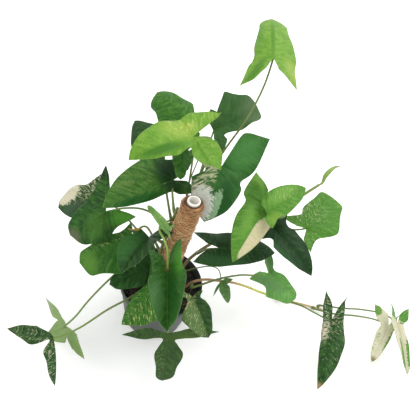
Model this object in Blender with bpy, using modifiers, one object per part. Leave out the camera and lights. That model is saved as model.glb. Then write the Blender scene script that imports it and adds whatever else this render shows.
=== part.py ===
"""Arrowhead plant in a nursery pot: climbing stems round a coir wound pole, and a trailing runner."""

import math
from typing import NamedTuple

import bmesh
import bpy
import numpy as np

# Driving sizes, all in millimetres
MM = 0.001
SEAT_GAP = 0.4
STEM_OFF_COIR = 0.6
HOLE_GAP = 0.4

POT_HEIGHT = 112.0
POT_BASE_RADIUS = 56.0
POT_RIM_RADIUS = 76.0
POT_WALL = 1.8
POT_FLOOR = 2.5
RIM_DROP = 11.0
RIM_STEP = 2.2
POT_SEGMENTS = 48
DRAIN_HOLES = 6
DRAIN_RADIUS = 5.0
DRAIN_CIRCLE = 38.0

SOIL_TOP = 100.0
SOIL_SEGMENTS = 36
SOIL_RINGS = (64.0, 52.0, 40.0, 28.0, 16.0, 0.0)
SOIL_EDGE_DROP = 4.0
SOIL_GAP = 0.6

POLE_LEAN = 0.07
TUBE_RADIUS = 10.65
TUBE_BORE = 7.9
TUBE_BOTTOM = 14.0
TUBE_TOP = 341.0
TUBE_SEGMENTS = 24
COIR_RADIUS = 17.2
COIR_RIDGE = 0.9
COIR_TURNS = 18
COIR_BOTTOM = 103.5
COIR_TOP = 338.0
COIR_SEGMENTS = 16

STEM_RADIUS = 3.2
STEM_SPACING = 16.0
RUNNER_RADIUS = 2.6
PETIOLE_RADIUS = 1.8
SMALL_PETIOLE_RADIUS = 1.1
PETIOLE_BASE_SWELL = 1.4
PETIOLE_SPACING = 24.0
LANDING_START = 3.0
PETIOLE_LANDING = 8.0
SMALL_HALF_WIDTH = 16.0
BLADE_THICKNESS = 1.0
SMALL_BLADE_THICKNESS = 0.7
SINUS_ANGLE = math.radians(15)
LEAST_TURN = math.radians(2.5)
WAVE_LENGTH = 45.0
FRONT_SAMPLES = 8
LOBE_SAMPLES = 4
BLADE_RINGS = (0.35, 0.7, 1.0)


class Side(NamedTuple):
    """One half of a blade: its basal lobe's tip, and its widths in millimetres."""

    lobe: tuple
    half_width: float
    outer: float
    inner: float
    waist: float = 1.05


class Leaf(NamedTuple):
    """One leaf, by the places of its petiole's landing, its tip and its two lobes."""

    name: str
    finish: str
    stem: str
    node: float
    petiole: tuple
    attach: tuple
    tip: tuple
    left: Side
    right: Side
    tip_fullness: float = 0.4
    widest: float = 0.35
    arch: float = 7.0
    wave: float = 1.2


def on_pole(height, turn):
    """A point beside the coir, at a height and a turn in degrees round the leaning pole."""
    reach = COIR_RADIUS + COIR_RIDGE + STEM_RADIUS + STEM_OFF_COIR
    angle = math.radians(turn)
    axis = POLE_LEAN * (height - SOIL_TOP)
    return (axis + reach * math.cos(angle), reach * math.sin(angle), height)


# Stem routes from root to growing end
STEMS = {
    "stem_left": [
        on_pole(86, 198),
        on_pole(110, 198),
        on_pole(150, 192),
        on_pole(200, 178),
        on_pole(250, 166),
        on_pole(304, 157),
    ],
    "stem_back": [on_pole(86, 118), on_pole(110, 118), on_pole(160, 108), on_pole(220, 96), on_pole(292, 86)],
    "stem_front": [(16, -27, 86), (16, -27, 108), (13, -29, 130), (10, -31, 152), (10, -30, 172)],
    "stem_right": [
        (26, 17, 86),
        (26, 18, 106),
        (34, 48, 130),
        (62, 84, 148),
        (96, 108, 168),
        (128, 128, 202),
        (147, 138, 234),
        (166, 144, 252),
        (190, 152, 270),
        (207, 166, 284),
        (220, 176, 296),
    ],
    "runner": [
        (46, 12, 86),
        (47, 12, 104),
        (58, 17, 118),
        (76, 26, 121),
        (98, 40, 110),
        (129, 66, 84),
        (160, 89, 55),
        (196, 108, 26),
        (232, 120, 9),
        (267, 126, 3.2),
        (304, 129, 3.0),
        (338, 131, 3.0),
    ],
}

LEAVES = (
    Leaf(
        "leaf_01_crown", "lime", "stem_back", 0.72,
        ((19, 84, 292), (37, 137, 338), (57, 158, 400), (67, 186, 450)),
        (68, 213, 490), (47, 332, 492),
        Side((30, 156, 458), 33, 22, 14, 1.1), Side((117, 165, 478), 42, 24, 12, 1.1), 0.65, 0.3, 9, 1.0,
    ),
    Leaf(
        "leaf_02_upper_left", "lime", "stem_back", 0.96,
        ((8, 66, 290), (14, 112, 330), (12, 108, 378)),
        (-15, 67, 405), (-92, -9, 390),
        Side((42, 31, 390), 24, 23, 26), Side((22, 128, 416), 42, 35, 30, 0.9), 0.35, 0.38, 10, 1.5,
    ),
    Leaf(
        "leaf_03_back_round", "mid", "stem_back", 0.78,
        ((-4, 90, 290), (-14, 140, 318)),
        (-24, 175, 339), (-115, 247, 330),
        Side((-10, 137, 320), 46, 15, 9), Side((-15, 208, 336), 36, 12, 8, 1.0), 0.6, 0.45, 8, 1.5,
    ),
    Leaf(
        "leaf_04_back_dark", "dark", "stem_left", 0.86,
        ((-36, 44, 306),),
        (-57, 96, 331), (-129, 159, 323),
        Side((-59, 46, 296), 42, 16, 10, 1.15), Side((-13, 128, 336), 28, 16, 10), 0.3, 0.44, 6, 1.5,
    ),
    Leaf(
        "leaf_05_back_right", "dark", "stem_back", 0.58,
        ((8, 90, 250), (8, 150, 292)),
        (7, 191, 330), (80, 276, 335),
        Side((-10, 214, 352), 56, 36, 8, 1.0), Side((36, 150, 322), 22, 18, 8, 1.0), 0.6, 0.42, 6, 1.5,
    ),
    Leaf(
        "leaf_06_marbled", "marbled", "stem_back", 0.87,
        ((30, 50, 300), (38, 74, 332)),
        (41, 80, 354), (41, 5, 295),
        Side((104, 146, 384), 44, 33, 34, 0.95), Side((-6, 93, 341), 44, 12, 9), 0.3, 0.31, 8, 1.5,
    ),
    Leaf(
        "leaf_07_large_left", "mid", "stem_left", 0.94,
        ((-21, 31, 306),),
        (-26, 44, 326), (-118, -28, 291),
        Side((16, 57, 301), 20, 16, 8), Side((-13, 110, 346), 56, 20, 12, 1.1), 0.3, 0.38, 8, 1.5,
    ),
    Leaf(
        "leaf_08_star", "mid", "stem_left", 0.72,
        ((-37, 30, 244), (-65, 33, 248), (-95, 26, 244)),
        (-122, 11, 240), (-165, -37, 210),
        Side((-73, 31, 225), 52, 26, 6), Side((-153, 93, 263), 35, 19, 8, 1.15), 0.5, 0.36, 7, 2.0,
    ),
    Leaf(
        "leaf_09_narrow", "pale", "stem_left", 0.88,
        ((-19, -10, 280),),
        (-7, -26, 285), (-53, 0, 298),
        Side((-1, -40, 281), 8, 3, 1, 1.0), Side((-2, -14, 292), 7, 3, 1, 1.0), 0.5, 0.3, 2, 0.3,
    ),
    Leaf(
        "leaf_10_lower_left", "mid", "stem_left", 0.5,
        ((-52, 34, 205), (-68, 22, 198)),
        (-77, 0, 185), (-140, -53, 165),
        Side((-47, -31, 170), 46, 13, 8, 1.0), Side((-82, 38, 200), 26, 12, 7), 0.6, 0.33, 7, 1.5,
    ),
    Leaf(
        "leaf_11_white_left", "marbled", "stem_left", 0.42,
        ((-70, 48, 172), (-120, 78, 178)),
        (-160, 84, 190), (-217, 39, 175),
        Side((-132, 49, 175), 45, 13, 8), Side((-167, 128, 207), 30, 16, 8, 1.0), 0.4, 0.38, 5, 2.5,
    ),
    Leaf(
        "leaf_12_dark_left", "dark", "stem_left", 0.6,
        ((-34, 4, 226),),
        (-38, -11, 236), (-60, -84, 216),
        Side((-1, -15, 271), 42, 22, 10, 1.15), Side((-77, -9, 236), 31, 9, 7), 0.3, 0.32, 8, 1.5,
    ),
    Leaf(
        "leaf_13_low_dark", "dark", "stem_front", 0.35,
        ((-6, -27, 136), (-19, -15, 140)),
        (-26, -8, 150), (-82, -60, 140),
        Side((0, -41, 140), 28, 12, 6), Side((-37, 23, 165), 19, 10, 6), 0.5, 0.3, 6, 1.4,
    ),
    Leaf(
        "leaf_14_front_large", "mid", "stem_left", 0.82,
        ((-24, -6, 273), (-22, -24, 275), (-12, -36, 275), (0, -48, 262)),
        (8, -59, 235), (38, -149, 200),
        Side((14, -29, 280), 50, 27, 10), Side((-28, -58, 264), 40, 24, 9), 0.4, 0.31, 9, 1.2,
    ),
    Leaf(
        "leaf_15_marbled_front", "speckled", "stem_front", 0.75,
        (),
        (-4, -47, 160), (-38, -121, 130),
        Side((28, -64, 145), 45, 11, 7), Side((-27, -7, 160), 19, 8, 7, 0.95), 0.3, 0.33, 6, 1.5,
    ),
    Leaf(
        "leaf_16_three_lobed", "dark", "stem_front", 0.5,
        ((24, -60, 142), (34, -88, 136)),
        (40, -103, 118), (55, -151, 42),
        Side((125, -70, 118), 30, 10, 9, 0.55), Side((-33, -133, 119), 20, 9, 12, 0.6), 0.6, 0.4, 4, 1.0,
    ),
    Leaf(
        "leaf_17_front_right", "speckled", "stem_front", 0.6,
        ((40, -36, 150),),
        (62, -46, 160), (108, -93, 127),
        Side((75, -30, 165), 20, 7, 4, 1.1), Side((42, -55, 165), 36, 7, 5, 1.1), 0.4, 0.42, 5, 1.0,
    ),
    Leaf(
        "leaf_18_cream", "cream", "stem_right", 0.62,
        ((140, 124, 255),),
        (136, 103, 275), (106, -10, 238),
        Side((150, 128, 280), 25, 8, 5), Side((103, 158, 295), 36, 32, 10), 0.3, 0.4, 9, 1.2,
    ),
    Leaf(
        "leaf_19_cream_twin", "lime", "stem_right", 0.7,
        ((174, 108, 262), (160, 82, 278)),
        (139, 72, 288), (194, 146, 306),
        Side((129, 111, 300), 30, 11, 11), Side((154, 48, 285), 22, 14, 9, 1.0), 0.3, 0.29, 5, 1.0,
    ),
    Leaf(
        "leaf_20_speckled", "speckled", "stem_right", 0.5,
        ((160, 140, 196), (191, 138, 200), (209, 131, 212)),
        (225, 128, 225), (254, 209, 250),
        Side((176, 132, 235), 28, 16, 6, 1.1), Side((241, 84, 215), 50, 15, 10), 0.6, 0.34, 6, 1.5,
    ),
    Leaf(
        "leaf_21_darkest", "dark", "stem_right", 0.54,
        ((150, 112, 218),),
        (162, 96, 235), (251, 41, 205),
        Side((182, 136, 245), 28, 13, 6), Side((137, 56, 235), 32, 12, 8, 1.1), 0.3, 0.28, 9, 1.0,
    ),
    Leaf(
        "leaf_22_slit", "dark", "stem_right", 0.24,
        ((62, 58, 168),),
        (81, 51, 190), (185, 93, 175),
        Side((29, 64, 195), 35, 20, 9), Side((44, 8, 183), 30, 24, 7, 1.15), 0.3, 0.37, 7, 1.0,
    ),
    Leaf(
        "leaf_23_lower_right", "pale", "runner", 0.08,
        ((58, 3, 118), (101, 34, 126), (137, 59, 123), (165, 76, 114)),
        (191, 95, 110), (257, 70, 90),
        Side((180, 139, 130), 17, 9, 10, 0.8), Side((157, 68, 108), 42, 20, 8, 1.0), 0.5, 0.35, 6, 1.0,
    ),
    Leaf(
        "leaf_24_small_arrow", "pale", "stem_right", 0.12,
        ((53, 34, 135), (77, 42, 143), (95, 46, 134)),
        (105, 38, 115), (130, 9, 95),
        Side((126, 47, 120), 12, 7, 4), Side((99, 9, 100), 9, 2, 3), 0.4, 0.34, 3, 0.4,
    ),
    Leaf(
        "leaf_25_turned_pale", "pale", "stem_left", 0.14,
        ((-46, 16, 124), (-70, -5, 127), (-90, -34, 114), (-112, -70, 88), (-124, -99, 73)),
        (-133, -122, 71), (-168, -121, 12),
        Side((-191, -86, 74), 16, 18, 10, 1.35), Side((-81, -171, 71), 26, 17, 11, 0.85), 0.4, 0.34, 5, 1.0,
    ),
    Leaf(
        "leaf_26_far_left", "marbled", "stem_left", 0.08,
        ((-30, -40, 118), (-46, -68, 124), (-72, -92, 112), (-105, -126, 90), (-130, -146, 80)),
        (-144, -152, 80), (-108, -228, 70),
        Side((-148, -160, 35), 28, 11, 8, 0.8), Side((-213, -173, 100), 20, 22, 13, 0.6), 0.4, 0.36, 5, 2.0,
    ),
    Leaf(
        "leaf_27_hanging", "marbled", "runner", 0.74,
        ((285, 110, 22), (306, 84, 48), (324, 64, 68)),
        (338, 62, 75), (332, -76, 42),
        Side((353, 113, 91), 30, 13, 5, 0.7), Side((316, 113, 91), 17, 14, 4, 1.2), 0.3, 0.33, 8, 1.5,
    ),
    Leaf(
        "leaf_28_end_white", "white", "runner", 0.95,
        ((365, 126, 8), (405, 130, 18), (440, 118, 42)),
        (466, 109, 50), (442, 28, 25),
        Side((479, 140, 60), 13, 9, 6), Side((431, 145, 58), 17, 14, 12), 0.4, 0.33, 5, 1.0,
    ),
    Leaf(
        "leaf_29_end_striped", "white", "runner", 0.98,
        ((380, 146, 9), (420, 150, 20), (460, 136, 46)),
        (475, 106, 68), (505, 10, 46),
        Side((495, 141, 81), 12, 12, 7), Side((454, 145, 84), 26, 13, 9), 0.4, 0.33, 6, 1.0,
    ),
    Leaf(
        "leaf_30_under_crown", "mid", "stem_back", 0.84,
        ((-3, 74, 290), (0, 118, 330), (-6, 112, 356)),
        (-33, 88, 368), (-14, 29, 346),
        Side((-17, 106, 366), 15, 7, 4), Side((-54, 94, 362), 15, 7, 4), 0.5, 0.38, 4, 0.8,
    ),
)

# Base colour, roughness and metallic value of each material
FINISHES = {
    "pot": ((0.035, 0.045, 0.040), 0.45, 0.0),
    "soil": ((0.018, 0.013, 0.010), 0.95, 0.0),
    "tube": ((0.80, 0.79, 0.75), 0.35, 0.0),
    "coir": ((0.36, 0.17, 0.07), 0.9, 0.0),
    "stem": ((0.24, 0.26, 0.08), 0.55, 0.0),
    "lime": ((0.25, 0.45, 0.06), 0.4, 0.0),
    "mid": ((0.08, 0.22, 0.04), 0.4, 0.0),
    "dark": ((0.03, 0.09, 0.03), 0.4, 0.0),
    "pale": ((0.20, 0.38, 0.12), 0.45, 0.0),
    "marbled": ((0.20, 0.34, 0.16), 0.4, 0.0),
    "speckled": ((0.14, 0.30, 0.07), 0.4, 0.0),
    "cream": ((0.38, 0.48, 0.16), 0.4, 0.0),
    "white": ((0.60, 0.64, 0.42), 0.4, 0.0),
}


def clear_scene():
    for obj in list(bpy.data.objects):
        bpy.data.objects.remove(obj, do_unlink=True)


def new_collection(name, shown=True):
    group = bpy.data.collections.new(name)
    group.hide_render = not shown
    bpy.context.scene.collection.children.link(group)
    return group


def material(name):
    found = bpy.data.materials.get(name)
    if found:
        return found
    colour, roughness, metallic = FINISHES[name]
    made = bpy.data.materials.new(name)
    made.use_nodes = True
    shader = made.node_tree.nodes["Principled BSDF"]
    shader.inputs["Base Color"].default_value = (*colour, 1.0)
    shader.inputs["Roughness"].default_value = roughness
    shader.inputs["Metallic"].default_value = metallic
    return made


def add_mesh(name, mesh, finish, group):
    obj = bpy.data.objects.new(name, mesh)
    mesh.materials.clear()
    mesh.materials.append(material(finish))
    group.objects.link(obj)
    return obj


def mesh_from(name, points, faces):
    """An open or closed surface from points in millimetres."""
    mesh = bpy.data.meshes.new(name)
    mesh.from_pydata([tuple(c * MM for c in p) for p in points], [], faces)
    mesh.update()
    return mesh


def evaluated_mesh(obj, weld=0.01):
    """The object's mesh with its modifiers applied, in world space, points closer than the weld joined."""
    bpy.context.view_layer.update()
    shaped = obj.evaluated_get(bpy.context.evaluated_depsgraph_get())
    mesh = bpy.data.meshes.new_from_object(shaped)
    mesh.transform(obj.matrix_world)
    work = bmesh.new()
    work.from_mesh(mesh)
    if weld:
        bmesh.ops.remove_doubles(work, verts=work.verts, dist=weld * MM)
    bmesh.ops.recalc_face_normals(work, faces=work.faces)
    work.to_mesh(mesh)
    work.free()
    return mesh


def boolean(obj, other, operation, solver="EXACT"):
    """Unites with, or cuts away, another closed object, and removes that object."""
    step = obj.modifiers.new(operation.lower(), "BOOLEAN")
    step.operation = operation
    step.solver = solver
    step.object = other
    mesh = evaluated_mesh(obj, 0.0 if solver == "MANIFOLD" else 0.01)
    obj.modifiers.clear()
    obj.data = mesh
    obj.matrix_world.identity()
    bpy.data.objects.remove(other, do_unlink=True)


def turned(name, profile, segments, finish, group):
    """A solid of revolution about +Z from a closed profile of (radius, height) points."""
    mesh = bpy.data.meshes.new(name)
    points = [(r * MM, 0.0, z * MM) for r, z in profile]
    edges = [(i, (i + 1) % len(points)) for i in range(len(points))]
    mesh.from_pydata(points, edges, [])
    obj = add_mesh(name, mesh, finish, group)
    screw = obj.modifiers.new("turn", "SCREW")
    screw.steps = segments
    screw.render_steps = segments
    screw.use_merge_vertices = True
    screw.merge_threshold = 0.00001
    shaped = evaluated_mesh(obj)
    obj.modifiers.clear()
    obj.data = shaped
    return obj


def cutter(name, radius, low, high, centre, group, segments=20):
    bpy.ops.mesh.primitive_cylinder_add(
        vertices=segments,
        radius=radius * MM,
        depth=(high - low) * MM,
        location=(centre[0] * MM, centre[1] * MM, 0.5 * (low + high) * MM),
    )
    obj = bpy.context.object
    obj.name = name
    obj.display_type = "WIRE"
    obj.hide_render = True
    for owner in list(obj.users_collection):
        owner.objects.unlink(obj)
    group.objects.link(obj)
    return obj


def lean_with_pole(obj):
    """Shifts each height of a mesh sideways by the pole's lean."""
    for vert in obj.data.vertices:
        vert.co.x += POLE_LEAN * (vert.co.z - SOIL_TOP * MM)


def smooth_route(points, spacing):
    """Even points along a smooth curve through the given ones."""
    knots = np.array(points, float)
    ends = np.vstack([2 * knots[0] - knots[1], knots, 2 * knots[-1] - knots[-2]])
    dense = []
    for i in range(1, len(ends) - 2):
        before, here, after, beyond = ends[i - 1 : i + 3]
        for t in np.linspace(0, 1, 12, endpoint=False):
            dense.append(
                0.5
                * (
                    2 * here
                    + (after - before) * t
                    + (2 * before - 5 * here + 4 * after - beyond) * t * t
                    + (3 * here - before - 3 * after + beyond) * t**3
                )
            )
    dense.append(knots[-1])
    dense = np.array(dense)
    walked = np.r_[0, np.cumsum(np.linalg.norm(np.diff(dense, axis=0), axis=1))]
    count = max(3, int(round(walked[-1] / spacing)) + 1)
    marks = np.linspace(0, walked[-1], count)
    return np.stack([np.interp(marks, walked, dense[:, k]) for k in range(dense.shape[1])], 1)


def rod(name, route, radii, finish, group, resolution=1):
    """A round stem along a route, as a curve with a bevel, its caps filled and welded."""
    curve = bpy.data.curves.new(name, "CURVE")
    curve.dimensions = "3D"
    curve.bevel_depth = MM
    curve.bevel_resolution = resolution
    curve.use_fill_caps = True
    line = curve.splines.new("POLY")
    line.points.add(len(route) - 1)
    for point, place, radius in zip(line.points, route, radii):
        point.co = (*(c * MM for c in place), 1.0)
        point.radius = radius
    drawn = bpy.data.objects.new(name + "_line", curve)
    group.objects.link(drawn)
    mesh = evaluated_mesh(drawn)
    bpy.data.objects.remove(drawn, do_unlink=True)
    return add_mesh(name, mesh, finish, group)


def unit(vector):
    return vector / np.linalg.norm(vector)


def half_edge(length, tip_fullness, widest, lobe, side):
    """The edge of one half in its own plane, along the midrib and out from it, from tip to sinus."""
    reach = np.linalg.norm(lobe)
    heading = lobe / reach
    across = np.array([-heading[1], heading[0]])
    if across[0] < 0:
        across = -across
    width = side.half_width
    waist = side.waist * width * unit(np.array([1.0, 0.0]) + heading)
    front = [
        (length, 0.0),
        (0.9 * length, tip_fullness * width),
        (0.68 * length, 0.74 * width),
        (widest * length, width),
        waist,
        0.5 * lobe + side.outer * across,
        lobe,
    ]
    back = [lobe, 0.72 * lobe - 0.7 * side.inner * across, 0.4 * lobe - side.inner * across]
    run = smooth_route(front, 1.0)
    rest = smooth_route(back, 1.0)
    picks = np.linspace(0, len(run) - 1, FRONT_SAMPLES).round().astype(int)
    rest_picks = np.linspace(0, len(rest) - 1, LOBE_SAMPLES).round().astype(int)
    edge = np.vstack([run[picks], rest[rest_picks][1:]])
    return one_way_round(edge)


def one_way_round(edge):
    """The same edge with its bearing from the petiole always growing, and a gap left at the sinus."""
    reach = np.hypot(edge[:, 0], edge[:, 1])
    bearing = np.arctan2(edge[:, 1], edge[:, 0])
    bearing[bearing < -0.5 * math.pi] += 2 * math.pi
    most = math.pi - SINUS_ANGLE
    for i in range(1, len(edge)):
        bearing[i] = max(bearing[i], bearing[i - 1] + LEAST_TURN)
    for i in range(len(edge) - 1, 0, -1):
        bearing[i] = min(bearing[i], most)
        most = bearing[i] - LEAST_TURN
    return np.stack([reach * np.cos(bearing), reach * np.sin(bearing)], 1)


def blade_surface(leaf):
    """The upper face of a blade: its points and its triangles, fanned from the petiole."""
    base = np.array(leaf.attach, float)
    midrib = np.array(leaf.tip, float) - base
    length = np.linalg.norm(midrib)
    along = midrib / length
    up = unit(np.cross(np.subtract(leaf.right.lobe, leaf.left.lobe), midrib))
    points = [base]
    faces = []
    shared = None
    for side, turn in ((leaf.left, 1), (leaf.right, -1)):
        lobe = np.array(side.lobe, float) - base
        back = lobe @ along
        sideways = lobe - back * along
        out = np.linalg.norm(sideways)
        outward = sideways / out
        edge = half_edge(length, leaf.tip_fullness, leaf.widest, np.array([back, out]), side)
        walked = np.r_[0, np.cumsum(np.linalg.norm(np.diff(edge, axis=0), axis=1))]
        reach = np.hypot(back, out)
        index = np.zeros((len(BLADE_RINGS), len(edge)), int)
        for j, (x_edge, y_edge) in enumerate(edge):
            if j == 0 and shared is not None:
                index[:, 0] = shared
                continue
            ripple = min(1.0, j / 3) * math.sin(2 * math.pi * walked[j] / WAVE_LENGTH + 0.85 * (1 - turn))
            for k, ring in enumerate(BLADE_RINGS):
                x, y = x_edge * ring, y_edge * ring
                rise = leaf.wave * ring * ring * ripple
                if x > 0:
                    rise += leaf.arch * 4 * (x / length) * (1 - x / length)
                across = min(1.0, y / side.half_width)
                rise += 0.35 * leaf.arch * 4 * across * (1 - across)
                if x < 0:
                    spread = min(1.0, math.hypot(x, y) / reach)
                    rise += 0.3 * leaf.arch * 4 * spread * (1 - spread)
                index[k, j] = len(points)
                points.append(base + along * x + outward * y + up * rise)
        shared = index[:, 0]
        for j in range(len(edge) - 1):
            faces.append((0, int(index[0, j]), int(index[0, j + 1]))[::turn])
            for k in range(len(BLADE_RINGS) - 1):
                near, far = int(index[k, j]), int(index[k, j + 1])
                near_out, far_out = int(index[k + 1, j]), int(index[k + 1, j + 1])
                faces.append((near, near_out, far_out)[::turn])
                faces.append((near, far_out, far)[::turn])
    return points, faces


def is_small(leaf):
    return max(leaf.left.half_width, leaf.right.half_width) < SMALL_HALF_WIDTH


def petiole_radius(leaf):
    return SMALL_PETIOLE_RADIUS if is_small(leaf) else PETIOLE_RADIUS


def blade_thickness(leaf):
    return SMALL_BLADE_THICKNESS if is_small(leaf) else BLADE_THICKNESS


def build_blade(leaf, group):
    """The blade's upper face, thickened downwards, its rim split into triangles like its faces."""
    points, faces = blade_surface(leaf)
    blade = add_mesh(leaf.name, mesh_from(leaf.name, points, faces), leaf.finish, group)
    shell = blade.modifiers.new("thickness", "SOLIDIFY")
    shell.thickness = blade_thickness(leaf) * MM
    shell.offset = -1.0
    solid = evaluated_mesh(blade, 0.0)
    blade.modifiers.clear()
    blade.data = solid
    split_into_triangles(solid)
    return blade


def split_into_triangles(mesh):
    work = bmesh.new()
    work.from_mesh(mesh)
    bmesh.ops.triangulate(work, faces=work.faces)
    work.to_mesh(mesh)
    work.free()


def stem_route(name):
    return smooth_route(STEMS[name], STEM_SPACING)


def stem_radius(name):
    return RUNNER_RADIUS if name == "runner" else STEM_RADIUS


def petiole_route(leaf):
    """From just off the stem, through the petiole's own points, to under the blade's base."""
    stem = stem_route(leaf.stem)
    place = leaf.node * (len(stem) - 1)
    step = int(place)
    here = stem[step] + (place - step) * (stem[min(step + 1, len(stem) - 1)] - stem[step])
    tangent = unit(stem[min(step + 1, len(stem) - 1)] - stem[max(step - 1, 0)])
    attach = np.array(leaf.attach, float)
    target = np.array(leaf.petiole[0] if leaf.petiole else leaf.attach, float)
    out = target - here
    out = unit(out - (out @ tangent) * tangent)
    root = here + out * (stem_radius(leaf.stem) + SEAT_GAP)
    midrib = unit(np.array(leaf.tip, float) - attach)
    up = unit(np.cross(np.subtract(leaf.right.lobe, leaf.left.lobe), midrib))
    slope = 4 * leaf.arch * (1 - BLADE_RINGS[0]) / np.linalg.norm(np.array(leaf.tip, float) - attach)
    radius = petiole_radius(leaf)
    depth = blade_thickness(leaf) + 0.7 * radius
    landing = attach + midrib * LANDING_START + up * (LANDING_START * slope - depth)
    depth = blade_thickness(leaf) + 0.35 * radius
    end = attach + midrib * PETIOLE_LANDING + up * (PETIOLE_LANDING * slope - depth)
    knots = [root + out * 4.0, *(np.array(p, float) for p in leaf.petiole), landing]
    route = smooth_route(knots, PETIOLE_SPACING)
    return np.vstack([root, route, end])


def petiole_radii(count, leaf):
    """Thick at the sheathed base, even along the stalk, and fine where it enters the midrib."""
    radii = np.full(count, petiole_radius(leaf))
    radii[0] = petiole_radius(leaf) * PETIOLE_BASE_SWELL
    radii[-1] = 0.6 * petiole_radius(leaf)
    return radii


def build_leaf(leaf, group):
    blade = build_blade(leaf, group)
    route = petiole_route(leaf)
    stalk = rod(leaf.name + "_stalk", route, petiole_radii(len(route), leaf), leaf.finish, group, 1)
    boolean(blade, stalk, "UNION", "MANIFOLD")
    return blade


def build_pot(group, cutters):
    rim_low = POT_HEIGHT - RIM_DROP
    slope = (POT_RIM_RADIUS - RIM_STEP - POT_BASE_RADIUS) / rim_low
    wall_at_rim = POT_BASE_RADIUS + slope * rim_low
    profile = [
        (0.0, 0.0),
        (0.0, POT_FLOOR),
        (pot_inside(POT_FLOOR), POT_FLOOR),
        (pot_inside(POT_HEIGHT - 1.0), POT_HEIGHT - 1.0),
        (pot_inside(POT_HEIGHT - 1.0) + 0.8, POT_HEIGHT),
        (POT_RIM_RADIUS - 1.0, POT_HEIGHT),
        (POT_RIM_RADIUS, POT_HEIGHT - 1.0),
        (POT_RIM_RADIUS, rim_low + 0.6),
        (wall_at_rim, rim_low),
        (POT_BASE_RADIUS + 0.6, 1.4),
        (POT_BASE_RADIUS - 0.8, 0.0),
    ]
    pot = turned("pot", profile, POT_SEGMENTS, "pot", group)
    for i in range(DRAIN_HOLES):
        angle = 2 * math.pi * (i + 0.5) / DRAIN_HOLES
        centre = (DRAIN_CIRCLE * math.cos(angle), DRAIN_CIRCLE * math.sin(angle))
        hole = cutter("drain", DRAIN_RADIUS, -2.0, POT_FLOOR + 2.0, centre, cutters, 12)
        boolean(pot, hole, "DIFFERENCE")
    return pot


def pot_inside(height):
    """The radius of the pot's inner wall at a height."""
    slope = (POT_RIM_RADIUS - RIM_STEP - POT_BASE_RADIUS) / (POT_HEIGHT - RIM_DROP)
    return POT_BASE_RADIUS - POT_WALL + slope * height


def soil_bump(x, y):
    """How far the potting mix stands above or below its mean level."""
    return 0.8 * math.sin(x / 6.1 + 1.3) * math.cos(y / 7.3) + 0.5 * math.sin((x + y) / 3.9)


def build_soil(group, cutters):
    low = POT_FLOOR + SEAT_GAP
    edge = SOIL_TOP - SOIL_EDGE_DROP
    profile = [(0.0, low), (pot_inside(low) - SOIL_GAP, low), (pot_inside(edge) - SOIL_GAP, edge)]
    profile += [(radius, SOIL_TOP) for radius in SOIL_RINGS]
    soil = turned("soil", profile, SOIL_SEGMENTS, "soil", group)
    for vert in soil.data.vertices:
        if vert.co.z > 0.9 * SOIL_TOP * MM and math.hypot(vert.co.x, vert.co.y) < 1.01 * SOIL_RINGS[0] * MM:
            vert.co.z += soil_bump(vert.co.x / MM, vert.co.y / MM) * MM
    split_into_triangles(soil.data)
    width = TUBE_RADIUS + HOLE_GAP
    pole_hole = cutter("pole_hole", width, TUBE_BOTTOM - 1.0, SOIL_TOP + 9.0, (0, 0), cutters, 24)
    pole_hole.data.transform(pole_hole.matrix_world)
    pole_hole.matrix_world.identity()
    lean_with_pole(pole_hole)
    boolean(soil, pole_hole, "DIFFERENCE")
    for name in STEMS:
        route = stem_route(name)
        buried = route[: 1 + int(np.argmax(route[:, 2] > SOIL_TOP + 4.0))]
        buried = np.vstack([buried[0] - (0.0, 0.0, HOLE_GAP), buried[1:]])
        radii = np.full(len(buried), stem_radius(name) + HOLE_GAP)
        hole = rod("hole_" + name, buried, radii, "soil", cutters, 1)
        boolean(soil, hole, "DIFFERENCE")
    return soil


def build_pole(group):
    tube_profile = [
        (TUBE_BORE, TUBE_TOP),
        (TUBE_RADIUS - 0.3, TUBE_TOP),
        (TUBE_RADIUS, TUBE_TOP - 0.5),
        (TUBE_RADIUS, TUBE_BOTTOM),
        (TUBE_BORE, TUBE_BOTTOM),
    ]
    tube = turned("pole_tube", tube_profile, TUBE_SEGMENTS, "tube", group)
    lean_with_pole(tube)
    pitch = (COIR_TOP - COIR_BOTTOM) / COIR_TURNS
    wrap_profile = [(TUBE_RADIUS + SEAT_GAP, COIR_TOP)]
    for i in range(COIR_TURNS):
        top = COIR_TOP - i * pitch
        wrap_profile.append((COIR_RADIUS, top))
        wrap_profile.append((COIR_RADIUS + COIR_RIDGE, top - 0.5 * pitch))
    wrap_profile.append((COIR_RADIUS, COIR_BOTTOM))
    wrap_profile.append((TUBE_RADIUS + SEAT_GAP, COIR_BOTTOM))
    wrap = turned("coir_wrap", wrap_profile, COIR_SEGMENTS, "coir", group)
    lean_with_pole(wrap)


def build_stems(group):
    for name in STEMS:
        route = stem_route(name)
        radii = np.full(len(route), stem_radius(name))
        radii[-1] = 0.75 * stem_radius(name)
        rod(name, route, radii, "stem", group, 1)


def build_bud(group):
    """The rolled new leaf at the growing end of the stem that reaches to the right."""
    stem = stem_route("stem_right")
    heading = unit(stem[-1] - stem[-2])
    start = stem[-1] + heading * SEAT_GAP
    knots = [start, start + heading * 6.0, (225, 186, 310), (231, 196, 319), (238, 205, 322), (246, 212, 321)]
    route = smooth_route(knots, 6.0)
    swell = np.sin(np.linspace(0.25, math.pi - 0.1, len(route))) ** 1.5
    radii = 0.8 + 3.4 * swell
    rod("new_leaf_rolled", route, radii, "pale", group, 1)


def main():
    clear_scene()
    plant = new_collection("arrowhead_plant")
    cutters = new_collection("cutters", shown=False)
    build_pot(plant, cutters)
    build_soil(plant, cutters)
    build_pole(plant)
    build_stems(plant)
    build_bud(plant)
    for leaf in LEAVES:
        build_leaf(leaf, plant)
    for obj in plant.objects:
        obj.data.shade_smooth()
        obj.data.set_sharp_from_angle(angle=math.radians(35))


main()
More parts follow.
